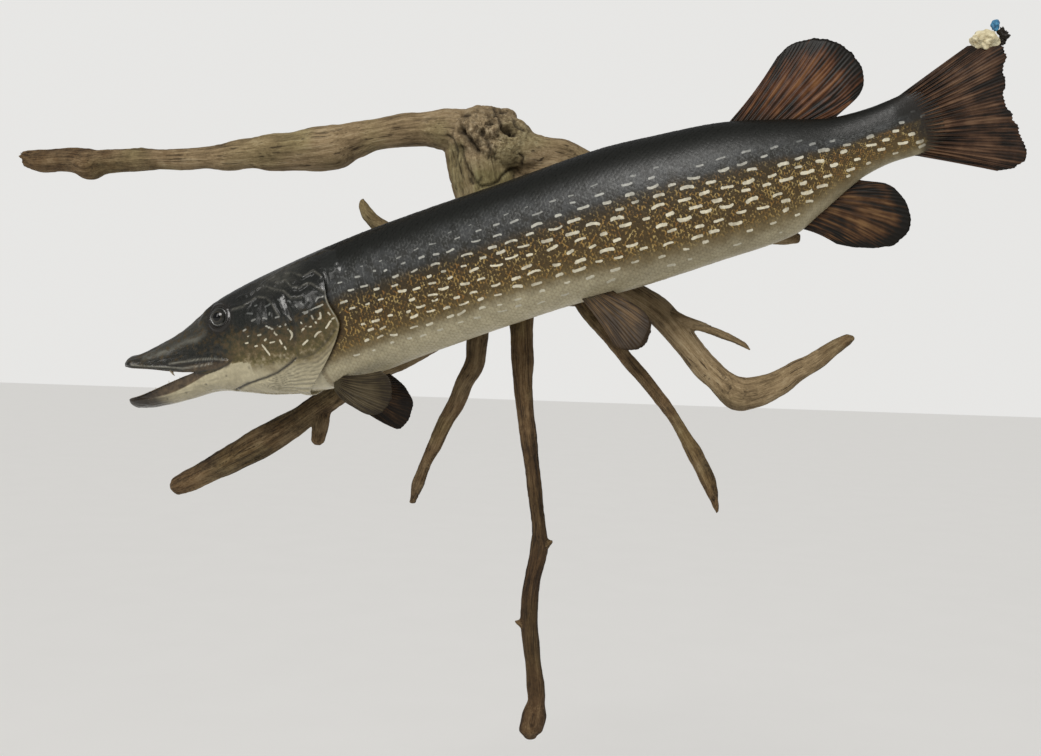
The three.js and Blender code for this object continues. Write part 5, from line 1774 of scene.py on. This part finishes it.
# %% Wood colours
PALE_WOOD = [(0.33, (0.045, 0.029, 0.015)), (0.44, (0.15, 0.105, 0.054)), (0.55, (0.265, 0.192, 0.104)),
             (0.70, (0.40, 0.32, 0.20))]
DARK_WOOD = [(0.34, (0.010, 0.006, 0.003)), (0.44, (0.044, 0.026, 0.011)), (0.55, (0.118, 0.071, 0.031)),
             (0.70, (0.24, 0.165, 0.085))]
CHIPPED = [(0.37, (0.035, 0.022, 0.012)), (0.46, (0.165, 0.12, 0.066)), (0.55, (0.32, 0.25, 0.148)),
           (0.67, (0.52, 0.435, 0.30))]
SAWN = [(0.25, (0.14, 0.088, 0.044)), (0.5, (0.25, 0.175, 0.095)), (0.75, (0.36, 0.275, 0.165))]
DARKER_STILL, GREEN_TINT = (0.55, 0.50, 0.46), (0.84, 0.96, 0.80)
# the two colours below are painted shade in fine splits and in cracks, pits and clefts
SPLIT_SHADE_BROWN, CRACK_SHADE = (0.030, 0.018, 0.009), (0.014, 0.009, 0.005)

# %% Wood finish
wood = Finish("weathered_wood", Roughness=0.85, Specular_IOR_Level=0.25)
shade, deep, green = wood.read("tone_crack_shade_tint")
stretched = wood.node("Mapping")
stretched.inputs["Scale"].default_value = (1, 1, 0.04)
wood.feed(wood.node("Attribute", attribute_name="grain").outputs["Vector"], stretched.inputs[0])
along_grain, here = stretched.outputs[0], wood.position()
fibre, band = wood.noise(along_grain, 1300, 5, 0.7), wood.noise(along_grain, 230, 3, 0.5)
patch, worn = wood.noise(here, 17, 4, 0.6), wood.noise(here, 48, 3, 0.6)
specks, chips = wood.noise(here, 420, 4, 0.7), wood.noise(here, 230, 4, 0.75)
value = wood.plus(wood.times(fibre, 0.5), wood.times(band, 0.38), wood.times(specks, 0.17),
                  wood.times(wood.less(patch, 0.5), 0.45))
shade_here = wood.plus(shade, wood.times(wood.less(patch, 0.5), 0.9), wood.times(wood.less(worn, 0.5), 1.1))
pale_wood, dark_wood = wood.ramp(value, PALE_WOOD), wood.ramp(value, DARK_WOOD)
colour = wood.mix(wood.between(shade_here, 0.15, 0.85), pale_wood, dark_wood)
# past 0.95 the wood gets darker still
colour = wood.mix(wood.between(shade_here, 0.95, 1.3), colour, DARKER_STILL, "MULTIPLY")
rough_spots = wood.times(wood.read("knurl")[0], 0.8)
colour = wood.mix(rough_spots, colour, wood.ramp(chips, CHIPPED))
# painted shade in fine splits along the grain
split = wood.between(wood.noise(along_grain, 520, 2, 0.4), 0.31, 0.385, 1.0, 0.0)
split = wood.times(split, wood.between(worn, 0.38, 0.55))
colour = wood.mix(wood.times(split, 0.8), colour, SPLIT_SHADE_BROWN)
colour = wood.mix(green, colour, GREEN_TINT, "MULTIPLY")
# painted shade in cracks, pits and clefts
colour = wood.mix(wood.times(deep, 0.85), colour, CRACK_SHADE)
# the pad that was sawn flat to sit on the wall shows fresh wood with year rings
x, depth, z = wood.split(here)
from_heart = wood.reckon("SQRT", wood.reckon("MULTIPLY_ADD", x, x, wood.times(z, z)))
year = wood.reckon("SINE", wood.reckon("MULTIPLY_ADD", patch, 22.0, wood.times(from_heart, 1500.0)))
sawn = wood.ramp(wood.reckon("MULTIPLY_ADD", year, 0.25, wood.times(specks, 1.0)), SAWN)
wood.colour(wood.mix(wood.between(depth, -0.0014, -0.0004), colour, sawn))
wood.rough(wood.between(fibre, 0.3, 0.7, 0.92, 0.7))
ridges = wood.less(wood.plus(fibre, wood.times(band, 0.6)), wood.times(split, 0.7))
wood.bump(wood.reckon("MULTIPLY_ADD", wood.times(chips, rough_spots), 2.4, ridges), 0.75, 0.0016)
dress(upper_root, wood, "driftwood", "root_long_left", "root_hook", "root_rear_stub", "root_crown", "burl")
dress(lower_root, wood, "driftwood_dark", "root_lower_left", "root_knub", "root_down_left",
      "root_down_long", "root_down_right", "root_elbow", "root_twig")
print("wood painted with", len(wood.tree.nodes), "nodes")

# %% [markdown]
# ## Floor and light
# A pale floor and pale surroundings, one wide soft light above and in front, and two weaker ones from
# left and right, as in a room lit from its ceiling.

# %% Floor, surroundings, lights
floor = start_with(bpy.ops.mesh.primitive_plane_add, "floor", size=60, location=(0, 0, -1.5))
pale_floor = speckled("pale_floor", 3, 2, [(0.3, (0.885, 0.88, 0.86)), (0.7, (0.895, 0.89, 0.87))],
                      Roughness=0.9, Specular_IOR_Level=0.2)
floor.data.materials.append(pale_floor.material)
world = bpy.data.worlds.new("pale_room")
bpy.context.scene.world = world
world.use_nodes = True
tree = world.node_tree
room, backdrop = tree.nodes["Background"], tree.nodes.new("ShaderNodeBackground")
for light, colour, strength in ((room, (0.98, 0.985, 1.0, 1), 0.27), (backdrop, (0.80, 0.795, 0.78, 1), 1.0)):
    light.inputs["Color"].default_value = colour
    light.inputs["Strength"].default_value = strength
seen = tree.nodes.new("ShaderNodeLightPath")
either = tree.nodes.new("ShaderNodeMixShader")
for source, target in ((seen.outputs["Is Camera Ray"], either.inputs[0]), (room.outputs[0], either.inputs[1]),
                       (backdrop.outputs[0], either.inputs[2]),
                       (either.outputs[0], tree.nodes["World Output"].inputs["Surface"])):
    tree.links.new(source, target)
bpy.context.scene.view_settings.view_transform = "Standard"


LAMP_TINT = (1, 0.98, 0.95)


def soft_light(name, at, aim, size, power):
    light = add_object(name, bpy.data.lights.new(name, "AREA"))
    light.data.shape, light.data.size, light.data.size_y = "RECTANGLE", *size
    light.data.energy, light.data.color = power, LAMP_TINT
    light.location = at
    light.rotation_euler = (Vector(aim) - Vector(at)).to_track_quat("-Z", "Y").to_euler()


ceiling = add_object("ceiling_light", bpy.data.lights.new("ceiling_light", "SUN"))
ceiling.data.energy, ceiling.data.angle, ceiling.data.color = 2.5, math.radians(30), LAMP_TINT
ceiling.rotation_euler = Vector((0.10, 1.0, -0.80)).to_track_quat("-Z", "Y").to_euler()
soft_light("left_light", (-1.6, -1.9, 0.9), (-0.25, -0.1, 0), (0.5, 1.2), 7)
soft_light("right_light", (1.9, -1.4, 1.2), (0.2, -0.1, 0), (0.4, 1.2), 5)
print("lights:", len(bpy.data.lights))
